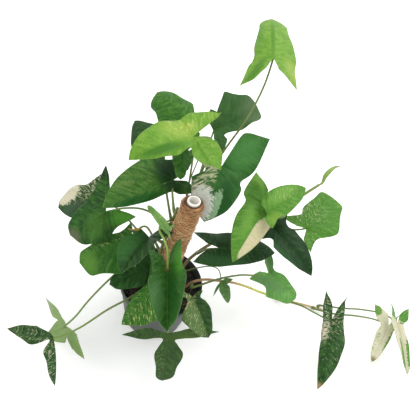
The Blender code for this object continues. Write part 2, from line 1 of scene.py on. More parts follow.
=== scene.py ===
"""Looks of a variegated arrowhead plant in its nursery pot, built round the fixed frame, +Z up."""

import logging
import math
import random
from collections.abc import Iterable, Iterator, Sequence
from contextlib import contextmanager
from dataclasses import dataclass, field, replace
from enum import Enum

import bpy
import numpy as np
from mathutils import Matrix, Vector


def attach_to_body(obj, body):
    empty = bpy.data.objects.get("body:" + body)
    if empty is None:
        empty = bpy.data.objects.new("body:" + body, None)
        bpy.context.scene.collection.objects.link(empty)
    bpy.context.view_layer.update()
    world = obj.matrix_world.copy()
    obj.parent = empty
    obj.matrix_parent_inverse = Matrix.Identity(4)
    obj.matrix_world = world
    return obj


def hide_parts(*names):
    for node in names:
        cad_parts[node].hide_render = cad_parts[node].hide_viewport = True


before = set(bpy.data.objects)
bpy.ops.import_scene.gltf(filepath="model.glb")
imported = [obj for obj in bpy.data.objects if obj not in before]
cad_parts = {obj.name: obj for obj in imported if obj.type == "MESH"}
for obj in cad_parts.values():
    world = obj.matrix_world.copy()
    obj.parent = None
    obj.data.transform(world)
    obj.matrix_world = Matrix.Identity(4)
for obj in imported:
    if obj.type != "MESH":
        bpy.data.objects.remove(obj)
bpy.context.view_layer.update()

log = logging.getLogger("arrowhead_plant")
Point = tuple[float, float, float]
Colour = tuple[float, float, float]

# The frame's own sizes, in millimetres
MM = 0.001
CM = 0.01
POT_HEIGHT = 112.0
POT_BASE_RADIUS = 56.0
POT_RIM_RADIUS = 76.0
POT_WALL = 1.8
POT_FLOOR = 2.5
RIM_DROP = 11.0
RIM_STEP = 2.2
SOIL_TOP = 100.0
POLE_LEAN = 0.07
TUBE_RADIUS = 10.65
TUBE_BORE = 7.9
TUBE_BOTTOM = 14.0
TUBE_TOP = 341.0
COIR_RADIUS = 17.2
COIR_RIDGE = 0.9
COIR_BOTTOM = 103.5
COIR_TOP = 338.0
COIR_TURNS = 18
STEM_RADIUS = 3.2
RUNNER_RADIUS = 2.6
PETIOLE_RADIUS = 1.8
SMALL_PETIOLE_RADIUS = 1.1
SEAT_GAP = 0.4
STEM_OFF_COIR = 0.6
SMALL_HALF_WIDTH = 16.0
BLADE_THICKNESS = 1.0
SMALL_BLADE_THICKNESS = 0.7
SINUS_ANGLE = math.radians(15)
WAVE_LENGTH = 45.0
FIRST_RING = 0.35
STEM_SPACING = 16.0
LANDING_START = 3.0
PETIOLE_LANDING = 8.0
POT_TAPER = (POT_RIM_RADIUS - RIM_STEP - POT_BASE_RADIUS) / (POT_HEIGHT - RIM_DROP)

# How near points are merged, in millimetres, and how many steps a smooth curve takes between two knots
MERGE = 0.001
CHORDS = 12

# What share of a seen leaf colour the skin itself has under the studio's light, and what sheen adds
SKIN_SHARE = 0.78
SKIN_SHEEN = 0.013
DARKEST_SKIN = 0.003


def srgb(red: float, green: float, blue: float) -> Colour:
    """A display colour, 0 to 255 a channel, as the linear values that a shader takes."""
    shares = (red / 255, green / 255, blue / 255)
    return tuple(c / 12.92 if c <= 0.04045 else ((c + 0.055) / 1.055) ** 2.4 for c in shares)


def seen(red: float, green: float, blue: float) -> Colour:
    """A leaf colour as the lit leaf shows it, as the linear value of its skin."""
    return tuple(max(DARKEST_SKIN, c * SKIN_SHARE - SKIN_SHEEN) for c in srgb(red, green, blue))


def unit(vector: np.ndarray) -> np.ndarray:
    """The vector at a length of one."""
    return vector / np.linalg.norm(vector)


def walked(line: np.ndarray) -> np.ndarray:
    """How far along a line each of its points lies."""
    return np.r_[0, np.cumsum(np.linalg.norm(np.diff(line, axis=0), axis=1))]


def even_points(line: np.ndarray, count: int) -> np.ndarray:
    """The same line with a given count of evenly spaced points.

    Args:
        line: The line's points, one a row.
        count: How many points are wanted.

    Returns:
        The new points, one a row.
    """
    so_far = walked(line)
    marks = np.linspace(0, so_far[-1], count)
    return np.stack([np.interp(marks, so_far, line[:, k]) for k in range(line.shape[1])], 1)


def smooth_route(points: Sequence, spacing: float) -> np.ndarray:
    """Even points along a smooth curve through the given ones.

    Args:
        points: The knots that the curve passes through.
        spacing: The wanted distance between points, in the knots' unit.

    Returns:
        An array with one point a row.
    """
    knots = np.array(points, float)
    ends = np.vstack([2 * knots[0] - knots[1], knots, 2 * knots[-1] - knots[-2]])
    dense = []
    for i in range(1, len(ends) - 2):
        before, here, after, beyond = ends[i - 1 : i + 3]
        for t in np.linspace(0, 1, CHORDS, endpoint=False):
            bend = (2 * before - 5 * here + 4 * after - beyond) * t * t
            twist = (3 * here - before - 3 * after + beyond) * t**3
            dense.append(0.5 * (2 * here + (after - before) * t + bend + twist))
    dense = np.array([*dense, knots[-1]])
    return even_points(dense, max(3, round(walked(dense)[-1] / spacing) + 1))


def round_pole(reach: float, angle: float, height: float) -> Point:
    """A place at a reach and a turn in radians round an upright line, at a height."""
    return (reach * math.cos(angle), reach * math.sin(angle), height)


def beside_pole(*places: tuple[float, float]) -> list[Point]:
    """A stem's places beside the coir, from heights and turns in degrees round the leaning pole.

    Args:
        places: A height in millimetres and a turn for each place.

    Returns:
        The places, in millimetres.
    """
    reach = COIR_RADIUS + COIR_RIDGE + STEM_RADIUS + STEM_OFF_COIR
    upright = [round_pole(reach, math.radians(turn), height) for height, turn in places]
    return [(POLE_LEAN * (z - SOIL_TOP) + x, y, z) for x, y, z in upright]


def soil_bump(x: float, y: float) -> float:
    """How far the potting mix stands above or below its mean level, in millimetres."""
    return 0.8 * math.sin(x / 6.1 + 1.3) * math.cos(y / 7.3) + 0.5 * math.sin((x + y) / 3.9)


def deselect() -> None:
    """Leaves nothing selected, so that an operator acts on the new piece alone."""
    bpy.ops.object.select_all(action="DESELECT")


def pick(obj: bpy.types.Object) -> None:
    """Makes one object the only selected and active one.

    Args:
        obj: The object.
    """
    deselect()
    obj.select_set(True)
    bpy.context.view_layer.objects.active = obj


def added(name: str) -> bpy.types.Object:
    """Names the object that the last operator added, and its data.

    Args:
        name: The new name.

    Returns:
        The object.
    """
    obj = bpy.context.object
    obj.name = name
    obj.data.name = name
    return obj


def apply_modifiers(obj: bpy.types.Object) -> None:
    """Applies every modifier of an object, in order.

    Args:
        obj: The object.
    """
    pick(obj)
    for step in list(obj.modifiers):
        bpy.ops.object.modifier_apply(modifier=step.name)


def thicken(obj: bpy.types.Object, thickness: float, offset: float = -1.0) -> bpy.types.Modifier:
    """Gives a surface a thickness in millimetres, to be applied with its other modifiers.

    Args:
        obj: The object.
        thickness: How thick it becomes.
        offset: -1 to grow inward only, 0 to grow both ways.

    Returns:
        The modifier.
    """
    wall = obj.modifiers.new("wall", "SOLIDIFY")
    wall.thickness = thickness * MM
    wall.offset = offset
    return wall


@contextmanager
def editing(obj: bpy.types.Object) -> Iterator[None]:
    """Opens an object for work on its mesh, all of it selected, and closes it again.

    Args:
        obj: The object.

    Yields:
        Nothing, once the mesh is open.
    """
    pick(obj)
    bpy.ops.object.mode_set(mode="EDIT")
    bpy.ops.mesh.select_all(action="SELECT")
    yield
    bpy.ops.object.mode_set(mode="OBJECT")


def mend(obj: bpy.types.Object, merge: float = 0.0) -> None:
    """Merges points that lie within so many millimetres, and turns the faces outward.

    Args:
        obj: The object.
        merge: The distance, or nothing to leave the points alone.
    """
    with editing(obj):
        if merge:
            bpy.ops.mesh.remove_doubles(threshold=merge * MM)
        bpy.ops.mesh.normals_make_consistent(inside=False)


def split_edges(obj: bpy.types.Object, cuts: int) -> None:
    """Divides every edge of an object by a number of cuts."""
    with editing(obj):
        bpy.ops.mesh.subdivide(number_cuts=cuts)


def place_in_mesh(obj: bpy.types.Object) -> None:
    """Moves an object's place, turn and scale into its mesh."""
    pick(obj)
    bpy.ops.object.transform_apply(location=True, rotation=True, scale=True)


def read_points(mesh: bpy.types.Mesh) -> np.ndarray:
    """A mesh's points, one a row.

    Args:
        mesh: The mesh.

    Returns:
        An array of three columns, in metres.
    """
    flat = np.empty(len(mesh.vertices) * 3)
    mesh.vertices.foreach_get("co", flat)
    return flat.reshape(-1, 3)


def write_points(mesh: bpy.types.Mesh, points: np.ndarray) -> None:
    """Puts a mesh's points at new places."""
    mesh.vertices.foreach_set("co", np.ascontiguousarray(points, dtype=np.float32).ravel())
    mesh.update()


def write_map(mesh: bpy.types.Mesh, name: str, values: np.ndarray) -> None:
    """Stores two numbers a point as a UV map, which follows the surface.

    Args:
        mesh: The mesh that gets the map.
        name: The map's name, which materials read.
        values: Two numbers for each of the mesh's points.
    """
    layer = mesh.uv_layers.get(name) or mesh.uv_layers.new(name=name)
    corners = np.empty(len(mesh.loops), int)
    mesh.loops.foreach_get("vertex_index", corners)
    layer.data.foreach_set("uv", values[corners].astype(np.float32).ravel())


def keep_maps(mesh: bpy.types.Mesh, *names: str) -> None:
    """Leaves a mesh only the UV maps of these names.

    Args:
        mesh: The mesh.
        names: The maps that stay.
    """
    for layer in list(mesh.uv_layers):
        if layer.name not in names:
            mesh.uv_layers.remove(layer)


def turned(
    name: str, segments: int, rings: Sequence[tuple[float, float]], poked: bool = False
) -> bpy.types.Object:
    """A round body drawn out ring by ring, with both ends closed.

    Args:
        name: The new object's name.
        segments: How many flats go round it.
        rings: Radius and height of each ring, in millimetres.
        poked: True to close the last ring with triangles that meet in its middle.

    Returns:
        The body, its faces outward.
    """
    radius, height = rings[0]
    deselect()
    bpy.ops.mesh.primitive_circle_add(
        vertices=segments, radius=radius * MM, fill_type="NGON", location=(0, 0, height * MM)
    )
    body = added(name)
    with editing(body):
        bpy.ops.mesh.select_all(action="DESELECT")
        bpy.ops.mesh.select_mode(type="EDGE")
        bpy.ops.mesh.select_non_manifold()
        for wider, higher in rings[1:]:
            bpy.ops.mesh.extrude_region_move(TRANSFORM_OT_translate={"value": (0, 0, (higher - height) * MM)})
            bpy.ops.transform.resize(value=(wider / radius, wider / radius, 1.0))
            radius, height = wider, higher
        bpy.ops.mesh.edge_face_add()
        if poked:
            bpy.ops.mesh.poke()
    mend(body)
    place_in_mesh(body)
    return body


def tube(name: str, route: np.ndarray, radii: np.ndarray, sides: int = 10) -> bpy.types.Object:
    """A round rod along a route, with how far along it each point lies in the map "plane".

    Args:
        name: The new object's name.
        route: Points of the centre line, in millimetres.
        radii: The radius at each of them, in millimetres.
        sides: How many flats go round the rod.

    Returns:
        The rod as a mesh object, its ends closed.
    """
    deselect()
    bpy.ops.curve.primitive_nurbs_path_add(location=(0, 0, 0))
    drawn = added(name)
    curve = drawn.data
    curve.splines.clear()
    curve.bevel_depth = MM
    curve.bevel_resolution = max(0, sides // 2 - 2)
    curve.use_fill_caps = True
    line = curve.splines.new("POLY")
    line.points.add(len(route) - 1)
    for point, place, radius in zip(line.points, route, radii):
        point.co = (*(c * MM for c in place), 1.0)
        point.radius = radius
    bpy.ops.object.convert(target="MESH")
    rod = bpy.context.object
    mend(rod, MERGE)
    points = read_points(rod.data) / MM
    nearest = np.argmin(((points[:, None, :] - route[None, :, :]) ** 2).sum(2), axis=1)
    share = nearest / (len(route) - 1)
    around = np.arctan2(points[:, 1] - route[nearest, 1], points[:, 0] - route[nearest, 0])
    write_map(rod.data, "plane", np.stack([share, around / math.tau], 1))
    rod.data.shade_smooth()
    return rod


def join(first: bpy.types.Object, others: Iterable[bpy.types.Object]) -> bpy.types.Object:
    """Joins other objects into the first one, whose name stays.

    Args:
        first: The object that stays.
        others: The objects that go into it.

    Returns:
        The joined object.
    """
    deselect()
    for obj in others:
        obj.select_set(True)
    first.select_set(True)
    bpy.context.view_layer.objects.active = first
    bpy.ops.object.join()
    return first


def settle(piece: bpy.types.Object, slot: str, *nodes: str) -> None:
    """Makes a finished piece stand for its frame nodes and take its place in the plant.

    Args:
        piece: The finished piece.
        slot: Not used.
        nodes: The frame nodes that it replaces.
    """
    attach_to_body(piece, "root")
    if nodes:
        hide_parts(*nodes)


def scattered(name: str, model: bpy.types.Object, places: Sequence[Matrix]) -> bpy.types.Object:
    """Copies of a small modelled shape as one mesh, the model itself removed.

    Args:
        name: The new object's name.
        model: The shape that each copy repeats.
        places: One transform for each copy.

    Returns:
        The object that holds all copies.
    """
    points = read_points(model.data)
    faces = [tuple(f.vertices) for f in model.data.polygons]
    homogeneous = np.c_[points, np.ones(len(points))]
    clouds = [(homogeneous @ np.array(place).T)[:, :3] for place in places]
    shifted = [tuple(i + k * len(points) for i in face) for k in range(len(places)) for face in faces]
    mesh = bpy.data.meshes.new(name)
    mesh.from_pydata(np.vstack(clouds).tolist(), [], shifted)
    mesh.update()
    obj = bpy.data.objects.new(name, mesh)
    bpy.context.scene.collection.objects.link(obj)
    bpy.data.objects.remove(model, do_unlink=True)
    return obj


class Wire:
    """A value in a node tree, with arithmetic that adds the nodes for it."""

    def __init__(self, sheet: "Sheet", socket: bpy.types.NodeSocket) -> None:
        """Keeps the sheet, and the socket that the value comes from."""
        self.sheet = sheet
        self.socket = socket

    def __add__(self, other: "Wire | float") -> "Wire":
        """The sum with another value."""
        return self.sheet.math("ADD", self, other)

    def __sub__(self, other: "Wire | float") -> "Wire":
        """This value less another."""
        return self.sheet.math("SUBTRACT", self, other)

    def __rsub__(self, other: float) -> "Wire":
        """A number less this value."""
        return self.sheet.math("SUBTRACT", other, self)

    def __mul__(self, other: "Wire | float") -> "Wire":
        """The product with another value."""
        return self.sheet.math("MULTIPLY", self, other)

    def __truediv__(self, other: "Wire | float") -> "Wire":
        """This value divided by another."""
        return self.sheet.math("DIVIDE", self, other)

    def __abs__(self) -> "Wire":
        """The value without its sign."""
        return self.sheet.math("ABSOLUTE", self)


class Sheet:
    """A node tree that is being laid out, with a short call for each kind of node used."""

    def __init__(self, tree: bpy.types.NodeTree) -> None:
        """Keeps the tree that the nodes go into."""
        self.tree = tree

    def node(self, kind: str, **settings: object) -> bpy.types.Node:
        """Adds a node of a kind and gives it its settings.

        Args:
            kind: The node's type.
            settings: Its properties.

        Returns:
            The node.
        """
        made = self.tree.nodes.new(kind)
        for key, value in settings.items():
            setattr(made, key, value)
        return made

    def feed(self, socket: bpy.types.NodeSocket, value: object) -> None:
        """Links a socket to a wire, or sets it to a plain value.

        Args:
            socket: The input.
            value: What goes into it.
        """
        if isinstance(value, Wire):
            self.tree.links.new(value.socket, socket)
        elif isinstance(value, tuple) and len(value) == 3 and socket.type == "RGBA":
            socket.default_value = (*value, 1.0)
        else:
            socket.default_value = value

    def make(self, kind: str, *values: object, **settings: object) -> Wire:
        """Adds a node, feeds its inputs in order, and returns its first output.

        Args:
            kind: The node's type.
            values: A wire or a plain value for each input.
            settings: The node's properties.

        Returns:
            The node's first output.
        """
        made = self.node(kind, **settings)
        for socket, value in zip(made.inputs, values):
            self.feed(socket, value)
        return Wire(self, made.outputs[0])

    def math(self, operation: str, *values: object, clamp: bool = False) -> Wire:
        """One arithmetic step, and its result."""
        return self.make("ShaderNodeMath", *values, operation=operation, use_clamp=clamp)

    def above(self, value: Wire) -> Wire:
        """One where a value is more than nothing, and else zero."""
        return self.math("GREATER_THAN", value, 0.0)

    def step(self, value: Wire, low: object, high: object) -> Wire:
        """A smooth rise from 0 to 1 while a value goes from low to high."""
        return self.make("ShaderNodeMapRange", value, low, high, interpolation_type="SMOOTHSTEP")

    def fall(self, value: Wire, low: object, high: object) -> Wire:
        """A smooth drop from 1 to 0 while a value goes from low to high."""
        return 1.0 - self.step(value, low, high)

    def blend(self, factor: object, first: object, second: object) -> Wire:
        """A mix of two colours by a factor.

        Args:
            factor: How much of the second colour shows.
            first: The colour at nothing.
            second: The colour at one.

        Returns:
            The mixed colour.
        """
        made = self.node("ShaderNodeMix", data_type="RGBA", clamp_factor=True)
        for index, value in ((0, factor), (6, first), (7, second)):
            self.feed(made.inputs[index], value)
        return Wire(self, made.outputs[2])

    def noise(self, vector: Wire, scale: object, detail: float = 2.0, rough: float = 0.5) -> Wire:
        """Soft noise from 0 to 1 at a scale, read at a vector.

        Args:
            vector: Where it is read.
            scale: How fine it is.
            detail: How many finer layers it has.
            rough: How strong those are.

        Returns:
            The noise.
        """
        made = self.node("ShaderNodeTexNoise")
        for key, value in (("Vector", vector), ("Scale", scale), ("Detail", detail), ("Roughness", rough)):
            self.feed(made.inputs[key], value)
        return Wire(self, made.outputs[0])

    def vector(self, x: object = 0.0, y: object = 0.0, z: object = 0.0) -> Wire:
        """A vector from three numbers."""
        return self.make("ShaderNodeCombineXYZ", x, y, z)

    def parts(self, vector: Wire) -> list[Wire]:
        """The three numbers of a vector.

        Args:
            vector: The vector.

        Returns:
            The numbers in order.
        """
        made = self.node("ShaderNodeSeparateXYZ")
        self.feed(made.inputs[0], vector)
        return [Wire(self, socket) for socket in made.outputs]

    def uv(self, name: str) -> Wire:
        """A place in one of the mesh's own maps."""
        return self.make("ShaderNodeUVMap", uv_map=name)

    def place(self) -> Wire:
        """A place on the object, in metres."""
        return Wire(self, self.node("ShaderNodeTexCoord").outputs["Object"])

    def group(self, tree: bpy.types.NodeTree, **values: object) -> dict[str, Wire]:
        """Places a node group, feeds its inputs, where _ stands for a space, and gives its outputs.

        Args:
            tree: The node group.
            values: A wire or a plain value for each input.

        Returns:
            The outputs by name.
        """
        made = self.node("ShaderNodeGroup", node_tree=tree)
        for key, value in values.items():
            self.feed(made.inputs[key.replace("_", " ")], value)
        return {socket.name: Wire(self, socket) for socket in made.outputs}

    def mottle(
        self, patterns: "Patterns", scale: float, contrast: float, at: Wire | None = None
    ) -> list[Wire]:
        """Uneven tone and fine grain at a scale, on the object or at a vector of its own."""
        both = self.group(patterns.mottle, Vector=at or self.place(), Scale=scale, Contrast=contrast)
        return [both["Tone"], both["Grain"]]


def new_group(
    name: str, takes: dict[str, object], gives: dict[str, str]
) -> tuple[Sheet, dict[str, Wire], bpy.types.Node]:
    """Starts a shader node group.

    Args:
        name: The group's name.
        takes: Each input's name, with its starting number, or None for a vector.
        gives: Each output's name and its kind of socket.

    Returns:
        The sheet, the inputs by name, and the node that collects the outputs.
    """
    tree = bpy.data.node_groups.new(name, "ShaderNodeTree")
    for key, start in takes.items():
        kind = "NodeSocketVector" if start is None else "NodeSocketFloat"
        made = tree.interface.new_socket(name=key, in_out="INPUT", socket_type=kind)
        if start is not None:
            made.default_value = start
    for key, kind in gives.items():
        tree.interface.new_socket(name=key, in_out="OUTPUT", socket_type=kind)
    sheet = Sheet(tree)
    source = sheet.node("NodeGroupInput")
    return sheet, {key: Wire(sheet, source.outputs[key]) for key in takes}, sheet.node("NodeGroupOutput")


class Coat(Sheet):
    """The sheet of a material, with the shader that its colour, sheen and relief go to."""

    def __init__(self, name: str) -> None:
        """Starts the material.

        Args:
            name: The material's name.
        """
        self.material = bpy.data.materials.new(name)
        self.material.use_nodes = True
        super().__init__(self.material.node_tree)
        self.shader = self.tree.nodes["Principled BSDF"]

    def finish(
        self, colour: Wire, rough: object, height: Wire, strength: float, distance: float
    ) -> bpy.types.Material:
        """Sends colour, roughness and relief to the shader.

        Args:
            colour: The surface's colour.
            rough: How dull it is, from 0 to 1.
            height: The relief.
            strength: How much of the relief shows.
            distance: How high the relief is, in metres.

        Returns:
            The finished material.
        """
        relief = self.node("ShaderNodeBump")
        for key, value in (("Height", height), ("Strength", strength), ("Distance", distance)):
            self.feed(relief.inputs[key], value)
        normal = Wire(self, relief.outputs[0])
        for key, value in (("Base Color", colour), ("Roughness", rough), ("Normal", normal)):
            self.feed(self.shader.inputs[key], value)
        return self.material


# How lateral veins lean from the midrib: forward for each step out, and more near the edge
VEIN_LEAN = 0.62
VEIN_CURVE = 0.045
LOBE_VEIN_LEAN = 0.7


def vein_group() -> bpy.types.NodeTree:
    """The vein pattern of an arrowhead leaf: midrib, lobe ribs and laterals, in centimetres on the blade.

    Returns:
        The group, whose Streak output runs along the veins, for marbling that follows them.
    """
    takes = {"Vector": None, "Left Bearing": 2.2, "Right Bearing": 2.2, "Spacing": 1.0}
    gives = dict.fromkeys(("Ribs", "Laterals", "Bands", "Side"), "NodeSocketFloat")
    sheet, given, sink = new_group("arrowhead veins", takes, gives | {"Streak": "NodeSocketVector"})
    x, y, _ = sheet.parts(given["Vector"])
    out = abs(y)
    side = sheet.above(y)
    bearing = side * given["Left Bearing"] + (1.0 - side) * given["Right Bearing"]
    cosine = sheet.math("COSINE", bearing)
    sine = sheet.math("SINE", bearing)
    along = x * cosine + out * sine
    off = abs(out * cosine - x * sine)
    front = x - out * VEIN_LEAN - out * out * VEIN_CURVE
    lobe = along - off * LOBE_VEIN_LEAN
    is_front = sheet.above(front)
    is_lobe = 1.0 - is_front
    pace = front * is_front + lobe * is_lobe
    run = out * is_front + off * is_lobe
    near = abs(sheet.math("FRACT", pace / given["Spacing"]) - 0.5)
    from_vein = (0.5 - near) * given["Spacing"]
    reach = sheet.math("SQRT", x * x + y * y)
    width = sheet.math("DIVIDE", 0.05, reach + 0.5) + 0.07
    midrib = sheet.fall(out, 0.0, width) * sheet.above(x)
    costa = sheet.fall(off, 0.0, width) * sheet.above(along) * is_lobe
    first = sheet.fall(abs(front), 0.0, 0.06) * 0.6
    links = {
        "Ribs": sheet.math("MAXIMUM", sheet.math("MAXIMUM", midrib, costa), first),
        "Laterals": sheet.fall(from_vein, 0.0, 0.055),
        "Bands": 1.0 - near * 2.0,
        "Streak": sheet.vector(pace, run, side + is_lobe * 3.0),
        "Side": side,
    }
    for key, value in links.items():
        sheet.feed(sink.inputs[key], value)
    return sheet.tree


def patch_group() -> bpy.types.NodeTree:
    """An oval patch on a blade with an edge that runs out in streaks along the veins.

    Returns:
        The group, whose Mask output is one inside the patch.
    """
    takes = {"Vector": None, "Streak": None, "Centre X": 0.0, "Centre Y": 0.0, "Half Length": 1.0}
    takes |= {"Half Width": 1.0, "Turn": 0.0, "Soft": 0.1, "Ragged": 0.3}
    sheet, given, sink = new_group("painted patch", takes, {"Mask": "NodeSocketFloat"})
    x, y, _ = sheet.parts(given["Vector"])
    x = x - given["Centre X"]
    y = y - given["Centre Y"]
    cosine = sheet.math("COSINE", given["Turn"])
    sine = sheet.math("SINE", given["Turn"])
    u = (x * cosine + y * sine) / given["Half Length"]
    v = (y * cosine - x * sine) / given["Half Width"]
    a, b, c = sheet.parts(given["Streak"])
    rough = sheet.noise(sheet.vector(a * 2.6, b * 0.7, c * 3.1), 1.0, 3.0, 0.65) - 0.5
    away = sheet.math("SQRT", u * u + v * v) + rough * (given["Ragged"] * 4.0)
    sheet.feed(sink.inputs["Mask"], sheet.fall(away, 1.0 - given["Soft"], given["Soft"] + 1.0))
    return sheet.tree


def fleck_group() -> bpy.types.NodeTree:
    """Small pale flecks and splashes that run along the veins, more of them as Amount grows.

    Returns:
        The group, whose Mask output is one on a fleck.
    """
    takes = {"Streak": None, "Size": 1.0, "Amount": 0.3}
    sheet, given, sink = new_group("leaf flecks", takes, {"Mask": "NodeSocketFloat"})
    a, b, c = sheet.parts(given["Streak"])
    stretched = sheet.vector(a * 4.2 / given["Size"], b * 1.3 / given["Size"], c * 5.3)
    edge = 0.72 - given["Amount"] * 0.32
    sheet.feed(sink.inputs["Mask"], sheet.step(sheet.noise(stretched, 1.0, 4.0, 0.7), edge, edge + 0.05))
    return sheet.tree


def mottle_group() -> bpy.types.NodeTree:
    """Uneven tone and fine grain on any surface, at one scale in object space.

    Returns:
        The group, with its Tone and Grain outputs.
    """
    takes = {"Vector": None, "Scale": 1.0, "Contrast": 1.0}
    gives = dict.fromkeys(("Tone", "Grain"), "NodeSocketFloat")
    sheet, given, sink = new_group("mottle", takes, gives)
    broad = sheet.noise(given["Vector"], given["Scale"], 4.0, 0.6)
    tone = sheet.math("ADD", 0.5, (broad - 0.5) * given["Contrast"], clamp=True)
    sheet.feed(sink.inputs["Tone"], tone)
    sheet.feed(sink.inputs["Grain"], sheet.noise(given["Vector"], given["Scale"] * 9.0, 3.0, 0.6))
    return sheet.tree


@dataclass
class Patterns:
    """The node groups that several materials share."""

    veins: bpy.types.NodeTree = field(default_factory=vein_group)
    patch: bpy.types.NodeTree = field(default_factory=patch_group)
    flecks: bpy.types.NodeTree = field(default_factory=fleck_group)
    mottle: bpy.types.NodeTree = field(default_factory=mottle_group)


class Half(Enum):
    """Which half of a blade a patch keeps to."""

    BOTH = 0
    LEFT = 1
    RIGHT = -1


class Edge(Enum):
    """How a patch ends, each kind with its softness and its raggedness."""

    CLEAN = (0.06, 0.06)
    TORN = (0.07, 0.34)
    SOFT = (0.6, 0.2)
    FLECKED = (0.4, 0.4)


@dataclass(frozen=True)
class Patch:
    """One painted area of a blade, in centimetres along the midrib and out to the left."""

    x: float
    y: float
    length: float
    width: float
    colour: Colour
    turn: float = 0.0
    half: Half = Half.BOTH
    strength: float = 1.0
    amount: float = 0.4
    grain: float = 1.0
    edge: Edge = Edge.TORN

    def mask(self, sheet: Sheet, plane: Wire, veins: dict[str, Wire], patterns: Patterns) -> Wire:
        """How much of the patch shows at each place.

        Args:
            sheet: The material's sheet.
            plane: Places on the blade, in centimetres.
            veins: The vein group's outputs.
            patterns: The shared node groups.

        Returns:
            The share, from 0 to 1.
        """
        soft, ragged = self.edge.value
        area = sheet.group(
            patterns.patch,
            Vector=plane,
            Streak=veins["Streak"],
            Centre_X=self.x,
            Centre_Y=self.y,
            Half_Length=self.length,
            Half_Width=self.width,
            Turn=math.radians(self.turn),
            Soft=soft,
            Ragged=ragged,
        )
        mask = area["Mask"]
        if self.edge is Edge.FLECKED:
            spots = sheet.group(patterns.flecks, Streak=veins["Streak"], Amount=self.amount, Size=self.grain)
            mask = mask * spots["Mask"]
        if self.half is not Half.BOTH:
            mask = mask * (veins["Side"] if self.half is Half.LEFT else 1.0 - veins["Side"])
        return mask * self.strength


@dataclass(frozen=True)
class BladeLook:
    """The colours and markings of one leaf, its colours as the lit leaf shows them."""

    main: Colour
    deep: Colour
    light: Colour
    # Painted highlight on the bands between the lateral veins, where the blade puckers up: how strong
    rays: float = 0.12
    veins: float = 0.22
    spacing: float = 1.0
    # Painted shade: the share of the deep colour laid over the left and the right half, darkening a half as
    # if turned from the light
    shade: tuple[float, float] = (0.0, 0.0)
    patches: tuple[Patch, ...] = ()
    petiole: tuple[Colour, Colour] = ((96, 112, 52), (112, 140, 62))
    edge: Colour | None = None
    gloss: float = 0.42

    def marked(self, *patches: Patch, **changes: object) -> "BladeLook":
        """The same look with patches on it and other values changed."""
        return replace(self, patches=patches, **changes)

    def paint(
        self, name: str, bearings: tuple[float, float], patterns: Patterns, under: bool
    ) -> bpy.types.Material:
        """Builds the material of the blade's upper or under face.

        Args:
            name: The material's name.
            bearings: How far round from the tip the left and the right lobe point, in radians.
            patterns: The shared node groups.
            under: True for the paler, matt underside.

        Returns:
            The finished material.
        """
        sheet = Coat(name)
        main, deep, light = (seen(*colour) for colour in (self.main, self.deep, self.light))
        plane = sheet.uv("plane")
        left, right = bearings
        veins = sheet.group(
            patterns.veins, Vector=plane, Left_Bearing=left, Right_Bearing=right, Spacing=self.spacing
        )
        tone = sheet.noise(plane, 0.55, 3.0, 0.55) * 0.8 + sheet.noise(veins["Streak"], 2.2, 3.0, 0.6) * 0.2
        colour = sheet.blend(sheet.step(tone, 0.3, 0.7), deep, main)
        # Painted shade: one half of the blade is darkened towards the deep colour by its given share
        left, right = self.shade
        colour = sheet.blend(veins["Side"] * (left - right) + right, colour, deep)
        # Painted highlight: the puckered bands between the lateral veins are lightened towards the light
        # colour
        colour = sheet.blend(sheet.step(veins["Bands"], 0.1, 1.0) * self.rays, colour, light)
        cells = sheet.noise(plane, 3.2, 5.0, 0.68)
        colour = sheet.blend(sheet.step(cells, 0.5, 0.66) * 0.3, colour, light)
        pace, run, part = sheet.parts(veins["Streak"])
        # Painted light and shade of the wrinkles: a fold noise along the veins lightens its high parts and
        # darkens its low parts in the colour, and the same noise raises the relief below
        fold_relief_and_painted_shade = sheet.noise(sheet.vector(pace * 1.6, run * 0.55, part * 4.0), 1.0, 3.0, 0.6)
        colour = sheet.blend(sheet.step(fold_relief_and_painted_shade, 0.5, 0.68) * 0.42, colour, light)
        colour = sheet.blend(sheet.fall(fold_relief_and_painted_shade, 0.34, 0.52) * 0.55, colour, deep)
        for patch in self.patches:
            colour = sheet.blend(patch.mask(sheet, plane, veins, patterns), colour, seen(*patch.colour))
        colour = sheet.blend(sheet.fall(cells, 0.34, 0.52) * 0.26, colour, deep)
        lines = sheet.math("MAXIMUM", veins["Ribs"], veins["Laterals"] * 0.55)
        colour = sheet.blend(lines * (self.veins * (1.6 if under else 1.0)), colour, light)
        _, ring, _ = sheet.parts(sheet.uv("walk"))
        rim = sheet.step(ring, 0.975, 0.997) * 0.6
        colour = sheet.blend(rim, colour, seen(*self.edge) if self.edge else light)
        if under:
            colour = sheet.blend(0.42, colour, srgb(150, 172, 118))
        fine = sheet.noise(plane, 14.0, 3.0, 0.6)
        outward = 1.0 if under else -1.0
        height = lines * (0.8 * outward) + fine * 0.35 + cells * 1.6 + fold_relief_and_painted_shade * (-3.2 * outward)
        dull = self.gloss + (0.15 if under else -0.05)
        sheet.shader.inputs["Specular IOR Level"].default_value = 0.2
        return sheet.finish(colour, fine * 0.14 + dull, height, 0.6, 0.0008)

    def paint_petiole(self, name: str, patterns: Patterns) -> bpy.types.Material:
        """The petiole's material, from its sheathed base to where it meets the blade.

        Args:
            name: The material's name.
            patterns: The shared node groups.

        Returns:
            The finished material.
        """
        sheet = Coat(name)
        base, top = (srgb(*colour) for colour in self.petiole)
        share, around, _ = sheet.parts(sheet.uv("plane"))
        tone, grain = sheet.mottle(patterns, 180.0, 0.9)
        colour = sheet.blend(sheet.step(share, 0.05, 0.9), base, top)
        colour = sheet.blend(tone * 0.35, colour, tuple(0.55 * c for c in base))
        line = sheet.noise(sheet.vector(share * 3.0, around * 30.0), 1.0)
        return sheet.finish(colour, grain * 0.2 + 0.4, line, 0.25, 0.0004)


